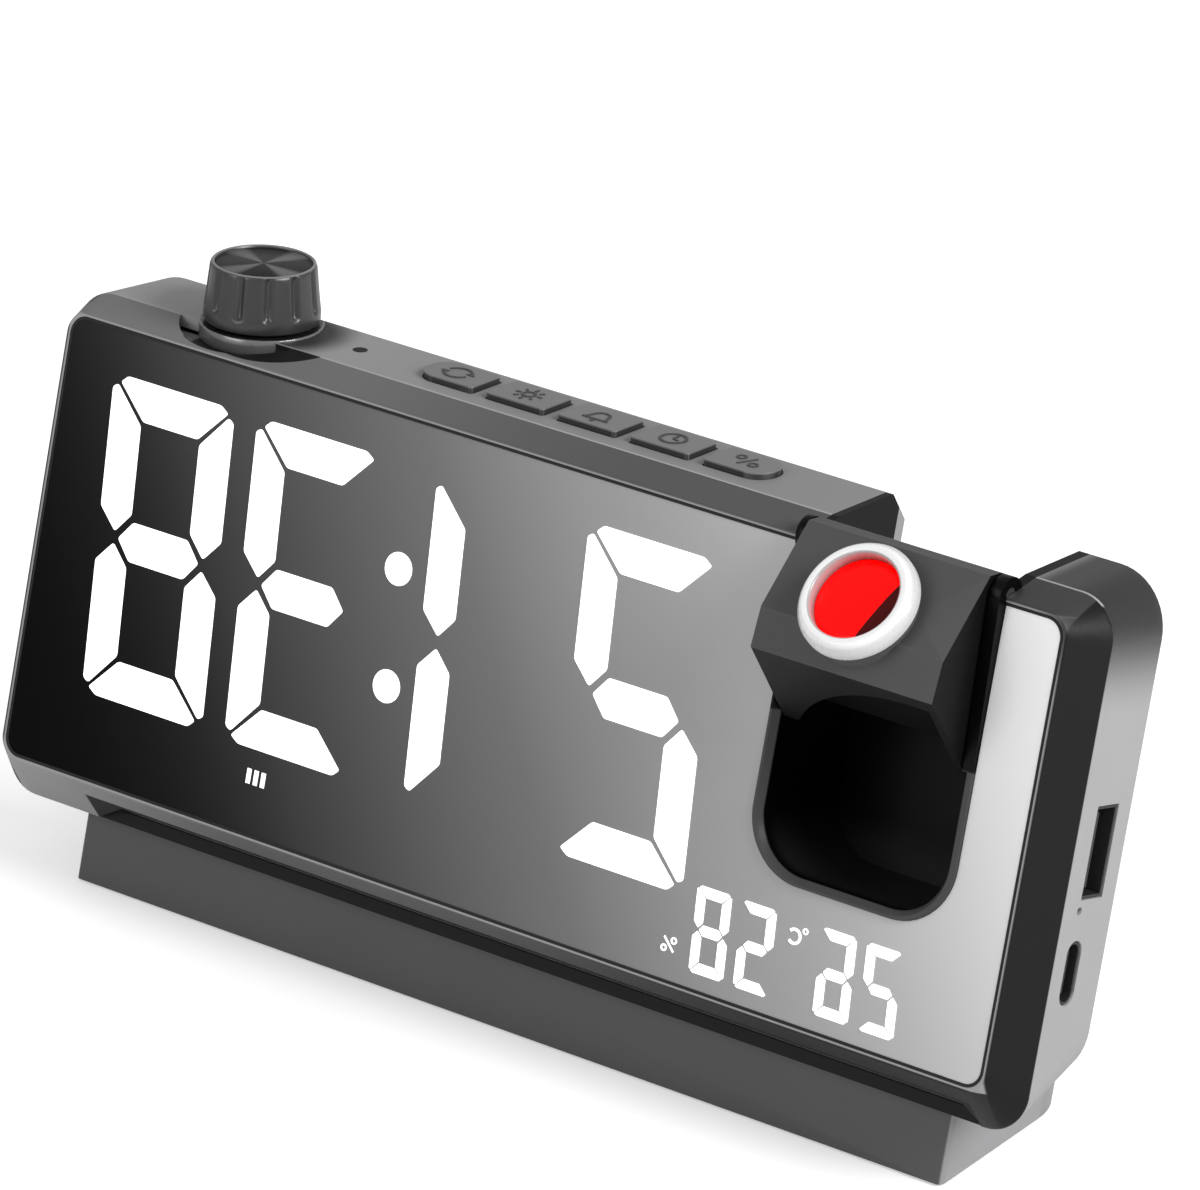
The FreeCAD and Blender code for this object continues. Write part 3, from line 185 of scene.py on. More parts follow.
class Plastic:
    """A material under way: its tree, its shader and the skin that feeds it."""

    def __init__(self, name, colour, roughness, grain=1800.0, mottle=0.12, bump=0.08):
        self.material = bpy.data.materials.new(name)
        self.material.use_nodes = True
        self.tree = self.material.node_tree
        self.shader = self.tree.nodes["Principled BSDF"]
        self.skin = self.tree.nodes.new("ShaderNodeGroup")
        self.skin.node_tree = moulded_skin
        self.skin.inputs["Colour"].default_value = (*colour, 1)
        self.skin.inputs["Grain Size"].default_value = grain
        self.skin.inputs["Mottle"].default_value = mottle
        self.skin.inputs["Roughness"].default_value = roughness
        self.join(self.skin.outputs["Colour"], self.shader.inputs["Base Color"])
        self.join(self.skin.outputs["Roughness"], self.shader.inputs["Roughness"])
        relief = self.tree.nodes.new("ShaderNodeBump")
        relief.inputs["Strength"].default_value = bump
        relief.inputs["Distance"].default_value = 0.0001
        self.join(self.skin.outputs["Height"], relief.inputs["Height"])
        self.join(relief.outputs["Normal"], self.shader.inputs["Normal"])
        self.colour = None

    def join(self, source, target):
        self.tree.links.new(source, target)

    def offset(self, origin):
        """From a place to each point of the surface."""
        place = self.tree.nodes.new("ShaderNodeTexCoord")
        gap = self.tree.nodes.new("ShaderNodeVectorMath")
        gap.operation = "SUBTRACT"
        gap.inputs[1].default_value = origin
        self.join(place.outputs["Object"], gap.inputs[0])
        return gap.outputs["Vector"]

    def distance(self, origin, direction):
        """How far along a direction from a place, over the surface, in metres."""
        along = self.tree.nodes.new("ShaderNodeVectorMath")
        along.operation = "DOT_PRODUCT"
        along.inputs[1].default_value = direction
        self.join(self.offset(origin), along.inputs[0])
        return along.outputs["Value"]

    def reach(self, origin, direction):
        """How far out from an axis, over the surface, in metres."""
        arm = self.tree.nodes.new("ShaderNodeVectorMath")
        arm.operation = "CROSS_PRODUCT"
        arm.inputs[1].default_value = direction
        self.join(self.offset(origin), arm.inputs[0])
        size = self.tree.nodes.new("ShaderNodeVectorMath")
        size.operation = "LENGTH"
        self.join(arm.outputs["Vector"], size.inputs[0])
        return size.outputs["Value"]

    def past(self, value, limit, fade=0.2, unit=MM):
        """0 before the limit and 1 after it, in millimetres; a negative fade turns that round."""
        edge = self.tree.nodes.new("ShaderNodeMapRange")
        edge.interpolation_type = "SMOOTHSTEP"
        edge.inputs["From Min"].default_value = unit * (limit - abs(fade))
        edge.inputs["From Max"].default_value = unit * (limit + abs(fade))
        edge.inputs["To Min"].default_value = 0.0 if fade > 0 else 1.0
        edge.inputs["To Max"].default_value = 1.0 if fade > 0 else 0.0
        self.join(value, edge.inputs["Value"])
        return edge.outputs["Result"]

    def times(self, *values):
        product = values[0]
        for value in values[1:]:
            both = self.tree.nodes.new("ShaderNodeMath")
            both.operation = "MULTIPLY"
            self.join(product, both.inputs[0])
            self.join(value, both.inputs[1])
            product = both.outputs[0]
        return product

    def tint(self, mask, colour):
        """Another colour where the mask is 1, for the plastic's own colours and for painted light and
        shade.
        """
        mix = self.tree.nodes.new("ShaderNodeMix")
        mix.data_type = "RGBA"
        if self.colour is None:
            mix.inputs["A"].default_value = self.skin.inputs["Colour"].default_value
        else:
            self.join(self.colour, mix.inputs["A"])
        mix.inputs["B"].default_value = (*colour, 1)
        self.join(mask, mix.inputs["Factor"])
        self.colour = mix.outputs["Result"]
        self.join(self.colour, self.skin.inputs["Colour"])

    def shade(self, level, *masks):
        """Another grey where all the masks are 1."""
        self.tint(self.times(*masks), grey(level))


def dress(material, *names):
    """Give CAD nodes their finish."""
    for name in names:
        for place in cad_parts[name].material_slots:
            place.material = material


def soften(width, *names):
    """Small moulded radii along the sharp edges of CAD nodes."""
    for name in names:
        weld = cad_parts[name].modifiers.new("one_skin", "WELD")
        weld.merge_threshold = 0.000002
        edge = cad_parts[name].modifiers.new("soft_edges", "BEVEL")
        edge.width = width * MM
        edge.segments = 2
        edge.limit_method = "ANGLE"
        edge.angle_limit = math.radians(25)
        edge.harden_normals = True


CREASE_DEPTH = 6.75
CREASE_TOP = 38.2
TOP_SLOPE = math.radians(11.3)
TOP_ALONG = INWARD * math.cos(TOP_SLOPE) + UPWARD * math.sin(TOP_SLOPE)
TOP_OUT = UPWARD * math.cos(TOP_SLOPE) - INWARD * math.sin(TOP_SLOPE)
CREASE_LINE = in_case(0, CREASE_DEPTH, CREASE_TOP)
KNOB_X = -66.4
KNOB_ALONG = 5.8
KNOB_FOOT = in_case(KNOB_X, CREASE_DEPTH, CREASE_TOP) + MM * KNOB_ALONG * TOP_ALONG
CASE_MIDDLE = in_case(0, 0, 0)
case_grey = Plastic("case_plastic", (0.30, 0.30, 0.305), 0.42)
case_grey.shader.inputs["Specular IOR Level"].default_value = 0.18
case_depth = case_grey.distance(CASE_MIDDLE, INWARD)
case_height = case_grey.distance(CASE_MIDDLE, UPWARD)
case_across = case_grey.distance(CASE_MIDDLE, ACROSS)

BEVEL_BACK = 6.7
BEVEL_RISE = 35.3
BEVEL_SIDE = 93.3
TOP_FACE_START = 37.0
CORNER_START = 28.0
CORNER_FADE = 7.0
LEFT_OF_CASE = -200.0
front_bevel = case_grey.past(case_depth, BEVEL_BACK, -0.1)
upper_bevel = case_grey.times(front_bevel, case_grey.past(case_height, BEVEL_RISE))
lower_bevel = case_grey.times(front_bevel, case_grey.past(case_height, -BEVEL_RISE, -0.1))
upper_face = case_grey.past(case_height, TOP_FACE_START)
upper_corner = case_grey.past(case_height, CORNER_START, CORNER_FADE)
# Painted shade and painted dark reflections: the top face, the upper corner and the bevels are painted
# darker greys, each from a place across the case and over its fade.
for area, start, fade, level in (
        (upper_face, -45.0, 45.0, 0.22), (upper_face, 83.0, 2.0, 0.055),
        (upper_corner, 90.0, 4.0, 0.03), (upper_bevel, LEFT_OF_CASE, 1.0, 0.155),
        (upper_bevel, -30.0, 50.0, 0.075), (lower_bevel, -70.0, 30.0, 0.10),
        (lower_bevel, 20.0, 40.0, 0.02), (upper_bevel, 81.0, 0.5, 0.04),
        (front_bevel, -BEVEL_SIDE, -0.2, 0.035), (front_bevel, BEVEL_SIDE, 0.2, 0.006)):
    case_grey.shade(level, area, case_grey.past(case_across, start, fade))

# Painted shade on the case: the step along its lower bevel, the hollow before the knob and the knob's
# shade and dark reflection, which lie a little to the right of it.  A thin painted highlight runs along
# the crease.
STEP_TOP = -37.6
STEP_FRONT = 2.35
STEP_BACK = 7.1
STEP_LEFT = -77.6
STEP_RIGHT = 90.1
SCOOP_SHADE_LEFT = -72.5
SCOOP_R = 12.75
SCOOP_TOP = -0.1
SHADE_SHIFT = 5.5
SHADE_R = 12.5
SHADE_MIDDLE_R = 9.0
CREASE_GLINT_FROM = 6.55
CREASE_GLINT_TO = 6.95
case_grey.shade(0.004, case_grey.past(case_height, STEP_TOP, -0.1),
                case_grey.past(case_depth, STEP_FRONT, 0.08),
                case_grey.past(case_depth, STEP_BACK, -0.1),
                case_grey.past(case_across, STEP_LEFT),
                case_grey.past(case_across, STEP_RIGHT, -0.1))
case_grey.shade(0.008, case_grey.past(case_across, SCOOP_SHADE_LEFT, 0.5),
                case_grey.past(case_grey.reach(KNOB_FOOT, TOP_OUT), SCOOP_R, -0.05),
                case_grey.past(case_grey.distance(KNOB_FOOT, TOP_OUT), SCOOP_TOP, -0.05))
shade_reach = case_grey.reach(KNOB_FOOT + MM * SHADE_SHIFT * ACROSS, TOP_OUT)
case_grey.shade(0.006, upper_bevel, case_grey.past(shade_reach, SHADE_R, -0.1))
case_grey.shade(0.03, upper_face, case_grey.past(case_depth, CREASE_GLINT_TO, 0.1),
                case_grey.past(shade_reach, SHADE_MIDDLE_R, -3.0))
case_grey.shade(0.33, upper_face, case_grey.past(case_depth, CREASE_GLINT_FROM, 0.08),
                case_grey.past(case_depth, CREASE_GLINT_TO, -0.08),
                case_grey.past(shade_reach, SHADE_R, 0.1))
dress(case_grey.material, "housing")
soften(0.35, "housing")

# The rear cover: the same grey plastic, a shallow dished lid with a round coin-slotted door over the
# backup cell.  Over the speaker its sound holes are painted shade, as a patch of thin black discs.
cover_grey = Plastic("cover_plastic", (0.26, 0.26, 0.265), 0.48, grain=1500.0)
dress(cover_grey.material, "rear_cover", "cell_door")
soften(0.3, "rear_cover", "cell_door")


def show(name, form, matrix, material, body, smooth=True):
    """Turn a bmesh drawn in a local frame into a piece that rides on a body."""
    bmesh.ops.recalc_face_normals(form, faces=form.faces)
    mesh = bpy.data.meshes.new(name)
    form.to_mesh(mesh)
    form.free()
    mesh.materials.append(material)
    for face in mesh.polygons:
        face.use_smooth = smooth
    thing = bpy.data.objects.new(name, mesh)
    scene.collection.objects.link(thing)
    thing.matrix_world = matrix
    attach(thing, body)
    return thing


def plate(name, outlines, matrix, thick, material, body):
    """Flat shapes given by outlines in millimetres, raised by a small thickness."""
    form = bmesh.new()
    for outline in outlines:
        low = [form.verts.new((u * MM, v * MM, 0)) for u, v in outline]
        high = [form.verts.new((u * MM, v * MM, thick * MM)) for u, v in outline]
        form.faces.new(high)
        form.faces.new(low[::-1])
        for here in range(len(outline)):
            there = (here + 1) % len(outline)
            form.faces.new((low[here], low[there], high[there], high[here]))
    return show(name, form, matrix, material, body, smooth=False)


def ring_points(u, v, radius, start=0.0, turn=360.0, count=24):
    """Points round an arc, for outlines."""
    angles = [math.radians(start + turn * step / count) for step in range(count + (turn < 360))]
    return [(u + radius * math.cos(angle), v + radius * math.sin(angle)) for angle in angles]


GRILLE_X = -70.0
GRILLE_Z = -4.0
BACK_DEPTH = 24.0
HOLE_R = 0.75
HOLE_PITCH = 2.5
GRILLE_R = 10.5
# Painted shade: the sound holes are thin black discs on the rear cover, standing in for the dark inside
# holes.
shade_and_seal_black = Plastic("hole_shade_and_seal_black", (0.008, 0.008, 0.008), 0.8)
holes = []
for row in range(-5, 6):
    for column in range(-5, 6):
        u = HOLE_PITCH * (column + 0.5 * (row % 2))
        v = HOLE_PITCH * row * math.sqrt(3) / 2
        if math.hypot(u, v) < GRILLE_R:
            holes.append(ring_points(u, v, HOLE_R, count=14))
grille_frame = axes(in_case(GRILLE_X, BACK_DEPTH - 0.02, GRILLE_Z), -ACROSS, UPWARD, INWARD)
plate("painted_sound_holes", holes, grille_frame, 0.04, shade_and_seal_black.material, "root")

# The mirror: a thin half-silvered sheet that fills the front.  Its reflection is painted into its
# silvering as a long soft gradient, nearly black at the lower left and nearly white at the right.
silver = Plastic("half_silvering", (0.5, 0.5, 0.5), 0.10, grain=300.0, mottle=0.02, bump=0.0)
REFLECTION_CORNER = in_case(-93, 0, -35)
REFLECTION_ALONG = (1.0 * ACROSS + 0.62 * UPWARD).normalized()
REFLECTION_SPAN = 0.192
reflection_place = silver.tree.nodes.new("ShaderNodeMapRange")
reflection_place.inputs["From Max"].default_value = REFLECTION_SPAN
silver.join(silver.distance(REFLECTION_CORNER, REFLECTION_ALONG), reflection_place.inputs["Value"])
reflection_tone = silver.tree.nodes.new("ShaderNodeValToRGB")
reflection_tone.color_ramp.interpolation = "B_SPLINE"
reflection_tone.color_ramp.elements[0].color = (0.002, 0.002, 0.002, 1)
reflection_tone.color_ramp.elements[1].color = (0.93, 0.93, 0.93, 1)
for where, level in ((0.12, 0.002), (0.27, 0.026), (0.5, 0.18), (0.62, 0.29), (0.8, 0.44)):
    reflection_tone.color_ramp.elements.new(where).color = (level, level, level * 1.01, 1)
silver.join(reflection_place.outputs["Result"], reflection_tone.inputs["Fac"])
silver.join(reflection_tone.outputs["Color"], silver.skin.inputs["Colour"])
silver.shader.inputs["Specular IOR Level"].default_value = 0.06
dress(silver.material, "mirror_window")

# A thin black bead seals the mirror's edge, from one side of the projector recess round to
# the other.
SEAL_WIDTH = 0.45
MIRROR_HALF = 92.95
MIRROR_RISE = 34.95
SEAL_CORNER = 3.0
SEAL_START = 46.1
SEAL_END = 82.6


def seal_path(inset):
    """The mirror's edge as a line, stopped at the recess."""
    half = MIRROR_HALF - inset
    rise = MIRROR_RISE - inset
    corner = SEAL_CORNER - inset
    path = [(SEAL_START, rise)]
    for u, v, start in ((-half + corner, rise - corner, 90), (-half + corner, -rise + corner, 180),
                        (half - corner, -rise + corner, 270), (half - corner, rise - corner, 360)):
        path += ring_points(u, v, corner, start, 90, 8)
    return path + [(SEAL_END, rise)]


seal_frame = axes(in_case(0, 0.13, 0), ACROSS, UPWARD, -INWARD)
plate("mirror_seal", [seal_path(0) + seal_path(SEAL_WIDTH)[::-1]], seal_frame, 0.12,
      shade_and_seal_black.material, "root")

# The lit display: seven leaning bars to a digit, which shine white through the silvering.
# Each bar has slightly rounded corners.  Only the lit bars show from outside.
DIGIT_HALF = 12.0
DIGIT_RISE = 24.75
BAR = 6.2
SLANT = 0.072
BAR_EASE = 0.45
glow = Plastic("lit_white", (0.95, 0.95, 0.95), 0.4, mottle=0.01, bump=0.0)
glow.shader.inputs["Emission Color"].default_value = (1, 1, 1, 1)
glow.shader.inputs["Emission Strength"].default_value = 0.9
mirror_face = axes(in_case(0, 0.12, 0), ACROSS, UPWARD, -INWARD)
LIT_HEIGHT = 0.1


def rounded_corners(points, radius, steps=4):
    """An outline whose corners are eased by short curves."""
    eased = []
    for index, corner in enumerate(points):
        here = Vector(corner)
        before = Vector(points[index - 1]) - here
        after = Vector(points[(index + 1) % len(points)]) - here
        start = here + before.normalized() * min(radius, 0.45 * before.length)
        end = here + after.normalized() * min(radius, 0.45 * after.length)
        for step in range(steps + 1):
            t = step / steps
            eased.append(tuple((1 - t) ** 2 * start + 2 * t * (1 - t) * here + t * t * end))
    return eased


LEVEL_END = [(-10.5, DIGIT_RISE - 1.1), (-9.2, DIGIT_RISE), (9.3, DIGIT_RISE), (10.8, DIGIT_RISE - 1.0),
             (5.4, DIGIT_RISE - BAR), (-5.4, DIGIT_RISE - BAR)]
MIDDLE_BAR = [(-8.0, 0), (-5.3, 3.05), (5.5, 3.05), (8.0, 0), (5.3, -3.05), (-5.5, -3.05)]
SIDE_BAR = [(DIGIT_HALF, 22.6), (11.0, 23.2), (5.85, 17.8), (5.85, 4.1), (8.8, 0.9),
            (DIGIT_HALF, 4.2)]
DIGIT_BARS = {
    "top": (LEVEL_END, 1, 1), "middle": (MIDDLE_BAR, 1, 1), "bottom": (LEVEL_END, -1, -1),
    "upper_left": (SIDE_BAR, -1, 1), "upper_right": (SIDE_BAR, 1, 1),
    "lower_left": (SIDE_BAR, -1, -1), "lower_right": (SIDE_BAR, 1, -1),
}
LIT_BARS = {
    "eight": list(DIGIT_BARS),
    "three": ["top", "upper_left", "middle", "lower_left", "bottom"],
    "one": ["upper_left", "lower_left"],
    "two": ["top", "upper_left", "middle", "lower_right", "bottom"],
    "five": ["top", "upper_right", "middle", "lower_left", "bottom"],
    "six": ["top", "upper_right", "middle", "lower_left", "lower_right", "bottom"],
}


def lit_digit(number, x, z, scale):
    """The outlines of one digit's lit bars on the mirror."""
    outlines = []
    for bar in LIT_BARS[number]:
        points, across, upward = DIGIT_BARS[bar]
        lean = [(scale * (across * u - SLANT * upward * v), scale * upward * v) for u, v in points]
        outlines.append(rounded_corners([(x + u, z + v) for u, v in lean], BAR_EASE * scale))
    return outlines


def lit_row(digits, z, scale):
    """The outlines of several digits, given by number and place."""
    return [outline for number, x in digits for outline in lit_digit(number, x, z, scale)]


DIGIT_Z = 3.25
SMALL_Z = -25.6
SMALL_SCALE = 0.262
DOT_R = 2.55
HOURS = (("eight", -69.45), ("three", -40.95))
MINUTES = (("one", -6.05), ("two", 22.55))
SMALL_DIGITS = (("eight", 42.5), ("five", 50.65), ("six", 65.1), ("two", 73.25))
COLON = ((-24.1, 12.2), (-22.7, -5.6))
for name, outlines in (
        ("lit_hours", lit_row(HOURS, DIGIT_Z, 1)), ("lit_minutes", lit_row(MINUTES, DIGIT_Z, 1)),
        ("lit_colon", [ring_points(u, v, DOT_R, count=40) for u, v in COLON]),
        ("lit_small_row", lit_row(SMALL_DIGITS, SMALL_Z, SMALL_SCALE))):
    plate(name, outlines, mirror_face, LIT_HEIGHT, glow.material, "root")


def arc_stroke(u, v, radius, start, turn, width):
    """A curved pen stroke as an outline."""
    outer = ring_points(u, v, radius + 0.5 * width, start, turn, 24)
    inside = ring_points(u, v, radius - 0.5 * width, start, turn, 24)
    return outer + inside[::-1]


def line_stroke(start, end, width):
    """A straight pen stroke as an outline."""
    run = (Vector(end) - Vector(start)).normalized() * 0.5 * width
    side = Vector((-run.y, run.x))
    a, b = Vector(start), Vector(end)
    return [tuple(a + side), tuple(a - side), tuple(b - side), tuple(b + side)]


# The lit marks: small rings and strokes beside the lower digits, and three plain bars under
# the hours.
marks = [arc_stroke(57.0, -21.9, 1.05, -140, 280, 0.42), arc_stroke(58.8, -20.7, 0.38, 0, 358, 0.22)]
marks += [line_stroke((34.6, -28.2), (36.6, -30.2), 0.3), arc_stroke(34.8, -29.9, 0.42, 0, 358, 0.26),
          arc_stroke(36.4, -28.5, 0.42, 0, 358, 0.26)]
marks += [line_stroke((x, -26.9), (x, -24.6), 0.8) for x in (-45.4, -44.0, -42.6)]
plate("lit_marks", marks, mirror_face, LIT_HEIGHT, glow.material, "root")

# The projector recess: a black U-shaped cup with a grey bevelled lip, pressed into the case.
# Two ears at its top carry the projector's hinge.
recess_black = Plastic("recess_plastic", (0.001, 0.001, 0.001), 0.3, grain=900.0, bump=0.02)
LIP_DEPTH = 0.75
LIP_SHADE_FROM = 9.6
LIT_FLOOR_DEPTH = 2.5
LIT_FLOOR_TOP = -9.0
lip_depth = recess_black.distance(CASE_MIDDLE, INWARD)
lip_height = recess_black.distance(CASE_MIDDLE, UPWARD)
# Painted light and shade in the recess: the lip is grey only low down, and above that it is left black
# as painted shade under the head; the lower floor is painted a little lighter, as painted light.
recess_black.shade(0.062, recess_black.past(lip_depth, LIP_DEPTH, -0.1),
                   recess_black.past(lip_height, LIP_SHADE_FROM, -0.2))
recess_black.shade(0.012, recess_black.past(lip_depth, LIT_FLOOR_DEPTH, 1.5),
                   recess_black.past(lip_height, LIT_FLOOR_TOP, -4.0))
recess_black.shader.inputs["Specular IOR Level"].default_value = 0.12
dress(recess_black.material, "projector_recess")
soften(0.2, "projector_recess")

# The projector head: a faceted dark hood that hangs from two steel pins, closed at the back
# by a small cover.  The lamp, the picture film and their black tube sit inside it.
head_dark = Plastic("head_plastic", (0.073, 0.073, 0.075), 0.4)
head_dark.shader.inputs["Specular IOR Level"].default_value = 0.12
CHIN_SHADE_Z = 19.95
CHEEK_SHADE_X = 80.12
chin_height = head_dark.distance(CASE_MIDDLE, UPWARD)
cheek_across = head_dark.distance(CASE_MIDDLE, ACROSS)
# Painted shade: the head's underside below the chin and its right cheek are painted near black.
head_dark.shade(0.004, head_dark.past(chin_height, CHIN_SHADE_Z, -0.1))
head_dark.shade(0.004, head_dark.past(cheek_across, CHEEK_SHADE_X, 0.05))
dress(head_dark.material, "projector_head_shell", "projector_head_cover")
soften(0.25, "projector_head_shell", "projector_head_cover")
pin_steel = Plastic("plain_steel", (0.55, 0.55, 0.56), 0.22, grain=2600.0, mottle=0.06)
pin_steel.shader.inputs["Metallic"].default_value = 1.0
dress(pin_steel.material, "projector_hinge_pins", "knob_shaft", "cover_screws", "foot_screws",
      "coin_cell")
soften(0.1, "projector_hinge_pins")
tube_black = Plastic("tube_black", (0.012, 0.012, 0.012), 0.7)
dress(tube_black.material, "lens_barrel", "projector_film")
lamp_yellow = Plastic("lamp_phosphor", (0.75, 0.62, 0.18), 0.35, grain=700.0)
dress(lamp_yellow.material, "projector_lamp")

# The focus ring: a glossy white ring that is turned by its rim to sharpen the picture.  Its side and its
# bore are painted a little greyer than its rim, as painted shade.
LENS_PLACE = Vector((0.06405, -0.009457, 0.084616))
LENS_OUT = Vector((0, -0.609044, 0.793137))
lens_frame = axes(LENS_PLACE, ACROSS, LENS_OUT.cross(ACROSS), LENS_OUT)


def lathe(name, profile, matrix, material, body, count=96):
    """Turn a profile of radius and height, in millimetres, round the local z axis."""
    form = bmesh.new()
    rows = []
    for radius, height in profile:
        if radius == 0:
            rows.append([form.verts.new((0, 0, height * MM))] * count)
            continue
        ring = [2 * math.pi * step / count for step in range(count)]
        rows.append([form.verts.new((radius * MM * math.cos(angle), radius * MM * math.sin(angle),
                                     height * MM)) for angle in ring])
    for low, high in zip(rows, rows[1:]):
        for here in range(count):
            there = (here + 1) % count
            corners = []
            for vert in (low[here], low[there], high[there], high[here]):
                if vert not in corners:
                    corners.append(vert)
            form.faces.new(corners)
    return show(name, form, matrix, material, body)


def eased(start, end, bulge, steps=6):
    """A rounded edge from one profile point to another, past a bulge point."""
    curve = []
    for step in range(steps + 1):
        t = step / steps
        curve.append(tuple((1 - t) ** 2 * a + 2 * t * (1 - t) * b + t * t * c
                           for a, b, c in zip(start, bulge, end)))
    return curve


RING_LOW = 1.6
ring_profile = [(7.0, RING_LOW), (9.1, RING_LOW)]
ring_profile += eased((9.1, RING_LOW), (9.3, 1.9), (9.3, RING_LOW))
ring_profile += [(9.3, 2.9), (9.05, 3.4), (8.62, 4.0)]
ring_profile += eased((8.5, 4.15), (8.0, 4.5), (8.25, 4.5))
ring_profile += eased((7.5, 4.5), (6.95, 4.0), (7.0, 4.5))
ring_profile += [(6.92, RING_LOW), (7.0, RING_LOW)]
ring_white = Plastic("ring_plastic", (0.80, 0.80, 0.80), 0.22, mottle=0.03)
LOCAL_START = (0, 0, 0)
LOCAL_OUT = (0, 0, 1)
RING_SIDE_SHADE_TOP = 3.9
RING_BORE_SHADE_R = 7.25
ring_height = ring_white.distance(LOCAL_START, LOCAL_OUT)
ring_reach = ring_white.reach(LOCAL_START, LOCAL_OUT)
ring_white.tint(ring_white.past(ring_height, RING_SIDE_SHADE_TOP, -0.4), (0.56, 0.56, 0.565))
ring_white.tint(ring_white.past(ring_reach, RING_BORE_SHADE_R, -0.1), (0.36, 0.36, 0.365))
ring_white.shader.inputs["Coat Weight"].default_value = 0.4
ring_white.shader.inputs["Coat Roughness"].default_value = 0.1
focus_ring = lathe("focus_ring_rim", ring_profile, lens_frame, ring_white.material, "focus_ring_body")
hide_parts("focus_ring")

# The lens: a low red dome held inside the focus ring.  It glows from the lamp behind it, apart
# from the shaded part at its right.
LENS_R = 6.88
LENS_BACK = 1.7
DOME_START = 2.3
DOME_RISE = 0.8
DOME_STEPS = 9
dome_profile = [(0, LENS_BACK), (LENS_R, LENS_BACK), (LENS_R, DOME_START)]
for step in range(1, DOME_STEPS):
    angle = 0.5 * math.pi * step / DOME_STEPS
    dome_profile.append((LENS_R * math.cos(angle), DOME_START + DOME_RISE * math.sin(angle)))
dome_profile.append((0, DOME_START + DOME_RISE))
lens_red = Plastic("red_lens", (0.85, 0.0, 0.0), 0.08, grain=400.0, mottle=0.03, bump=0.0)
SHADED_FROM = 3.75
shade_line = Vector((1, -0.254, 0)).normalized()
shaded_part = lens_red.past(lens_red.distance(LOCAL_START, shade_line), SHADED_FROM, 0.08)
lens_red.tint(shaded_part, (0.03, 0.0, 0.0))
lens_glow = lens_red.tree.nodes.new("ShaderNodeMix")
lens_glow.data_type = "RGBA"
lens_glow.inputs["A"].default_value = (1.0, 0.0, 0.0, 1)
lens_glow.inputs["B"].default_value = (0.045, 0.0, 0.0, 1)
lens_red.join(shaded_part, lens_glow.inputs["Factor"])
lens_red.join(lens_glow.outputs["Result"], lens_red.shader.inputs["Emission Color"])
lens_red.shader.inputs["Emission Strength"].default_value = 0.75
lens_red.shader.inputs["Specular IOR Level"].default_value = 0.2
lens_dome = lathe("lens_dome", dome_profile, lens_frame, lens_red.material, "focus_ring_body")
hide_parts("projection_lens")

# The knob: a black moulded cap with twelve rounded flutes, pushed on a steel shaft.  Each row
# below gives a radius, a height and the share of the flutes' depth there.
KNOB_FLUTES = 12
FLUTE_HALF = 0.8
FLUTE_DEPTH = 0.6
STEPS_PER_FLUTE = 20
knob_frame = axes(KNOB_FOOT, ACROSS, TOP_ALONG, TOP_OUT)
knob_rows = [(3.1, 0.75, 0), (8.6, 0.75, 0), (8.9, 0.85, 0), (9.0, 1.1, 0), (9.0, 2.3, 0),
             (8.97, 2.7, 0), (8.93, 2.95, 0.35), (8.89, 3.2, 0.75), (8.85, 3.5, 1), (8.6, 5.6, 1),
             (8.35, 8.0, 1), (8.25, 9.0, 1), (8.2, 9.35, 0.8), (8.12, 9.65, 0.3),
             (7.97, 9.85, 0), (7.8, 9.95, 0), (7.6, 9.93, 0), (7.5, 9.8, 0), (7.48, 9.45, 0),
             (0, 9.45, 0)]
KNOB_SEAM = 0.0000005
knob_form = bmesh.new()
columns = KNOB_FLUTES * STEPS_PER_FLUTE
rings = []
for radius, height, depth in knob_rows:
    ring = []
    for column in range(columns):
        angle = 2 * math.pi * column / columns
        off = (column % STEPS_PER_FLUTE) / STEPS_PER_FLUTE - 0.5
        reach_across = off * 2 * math.pi * radius / KNOB_FLUTES
        hollow = max(0.0, 1 - (reach_across / FLUTE_HALF) ** 2) ** 1.5
        drawn = (radius - FLUTE_DEPTH * depth * hollow) * MM
        ring.append(knob_form.verts.new((drawn * math.cos(angle), drawn * math.sin(angle),
                                         height * MM)))
    rings.append(ring)
for low, high in zip(rings, rings[1:]):
    for here in range(columns):
        there = (here + 1) % columns
        knob_form.faces.new((low[here], low[there], high[there], high[here]))
bmesh.ops.remove_doubles(knob_form, verts=knob_form.verts, dist=KNOB_SEAM)
knob_black = Plastic("knob_plastic", (0.026, 0.026, 0.027), 0.26, grain=2400.0)
KNOB_RIM_GLINT = 9.8
knob_height = knob_black.distance(LOCAL_START, LOCAL_OUT)
# Painted highlight: the knob's rounded top rim is painted a lighter grey.
knob_black.tint(knob_black.past(knob_height, KNOB_RIM_GLINT, 0.06), (0.17, 0.17, 0.172))
knob_black.shader.inputs["Specular IOR Level"].default_value = 0.6
knob_cap = show("knob_cap", knob_form, knob_frame, knob_black.material, "knob_body")
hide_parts("control_knob")

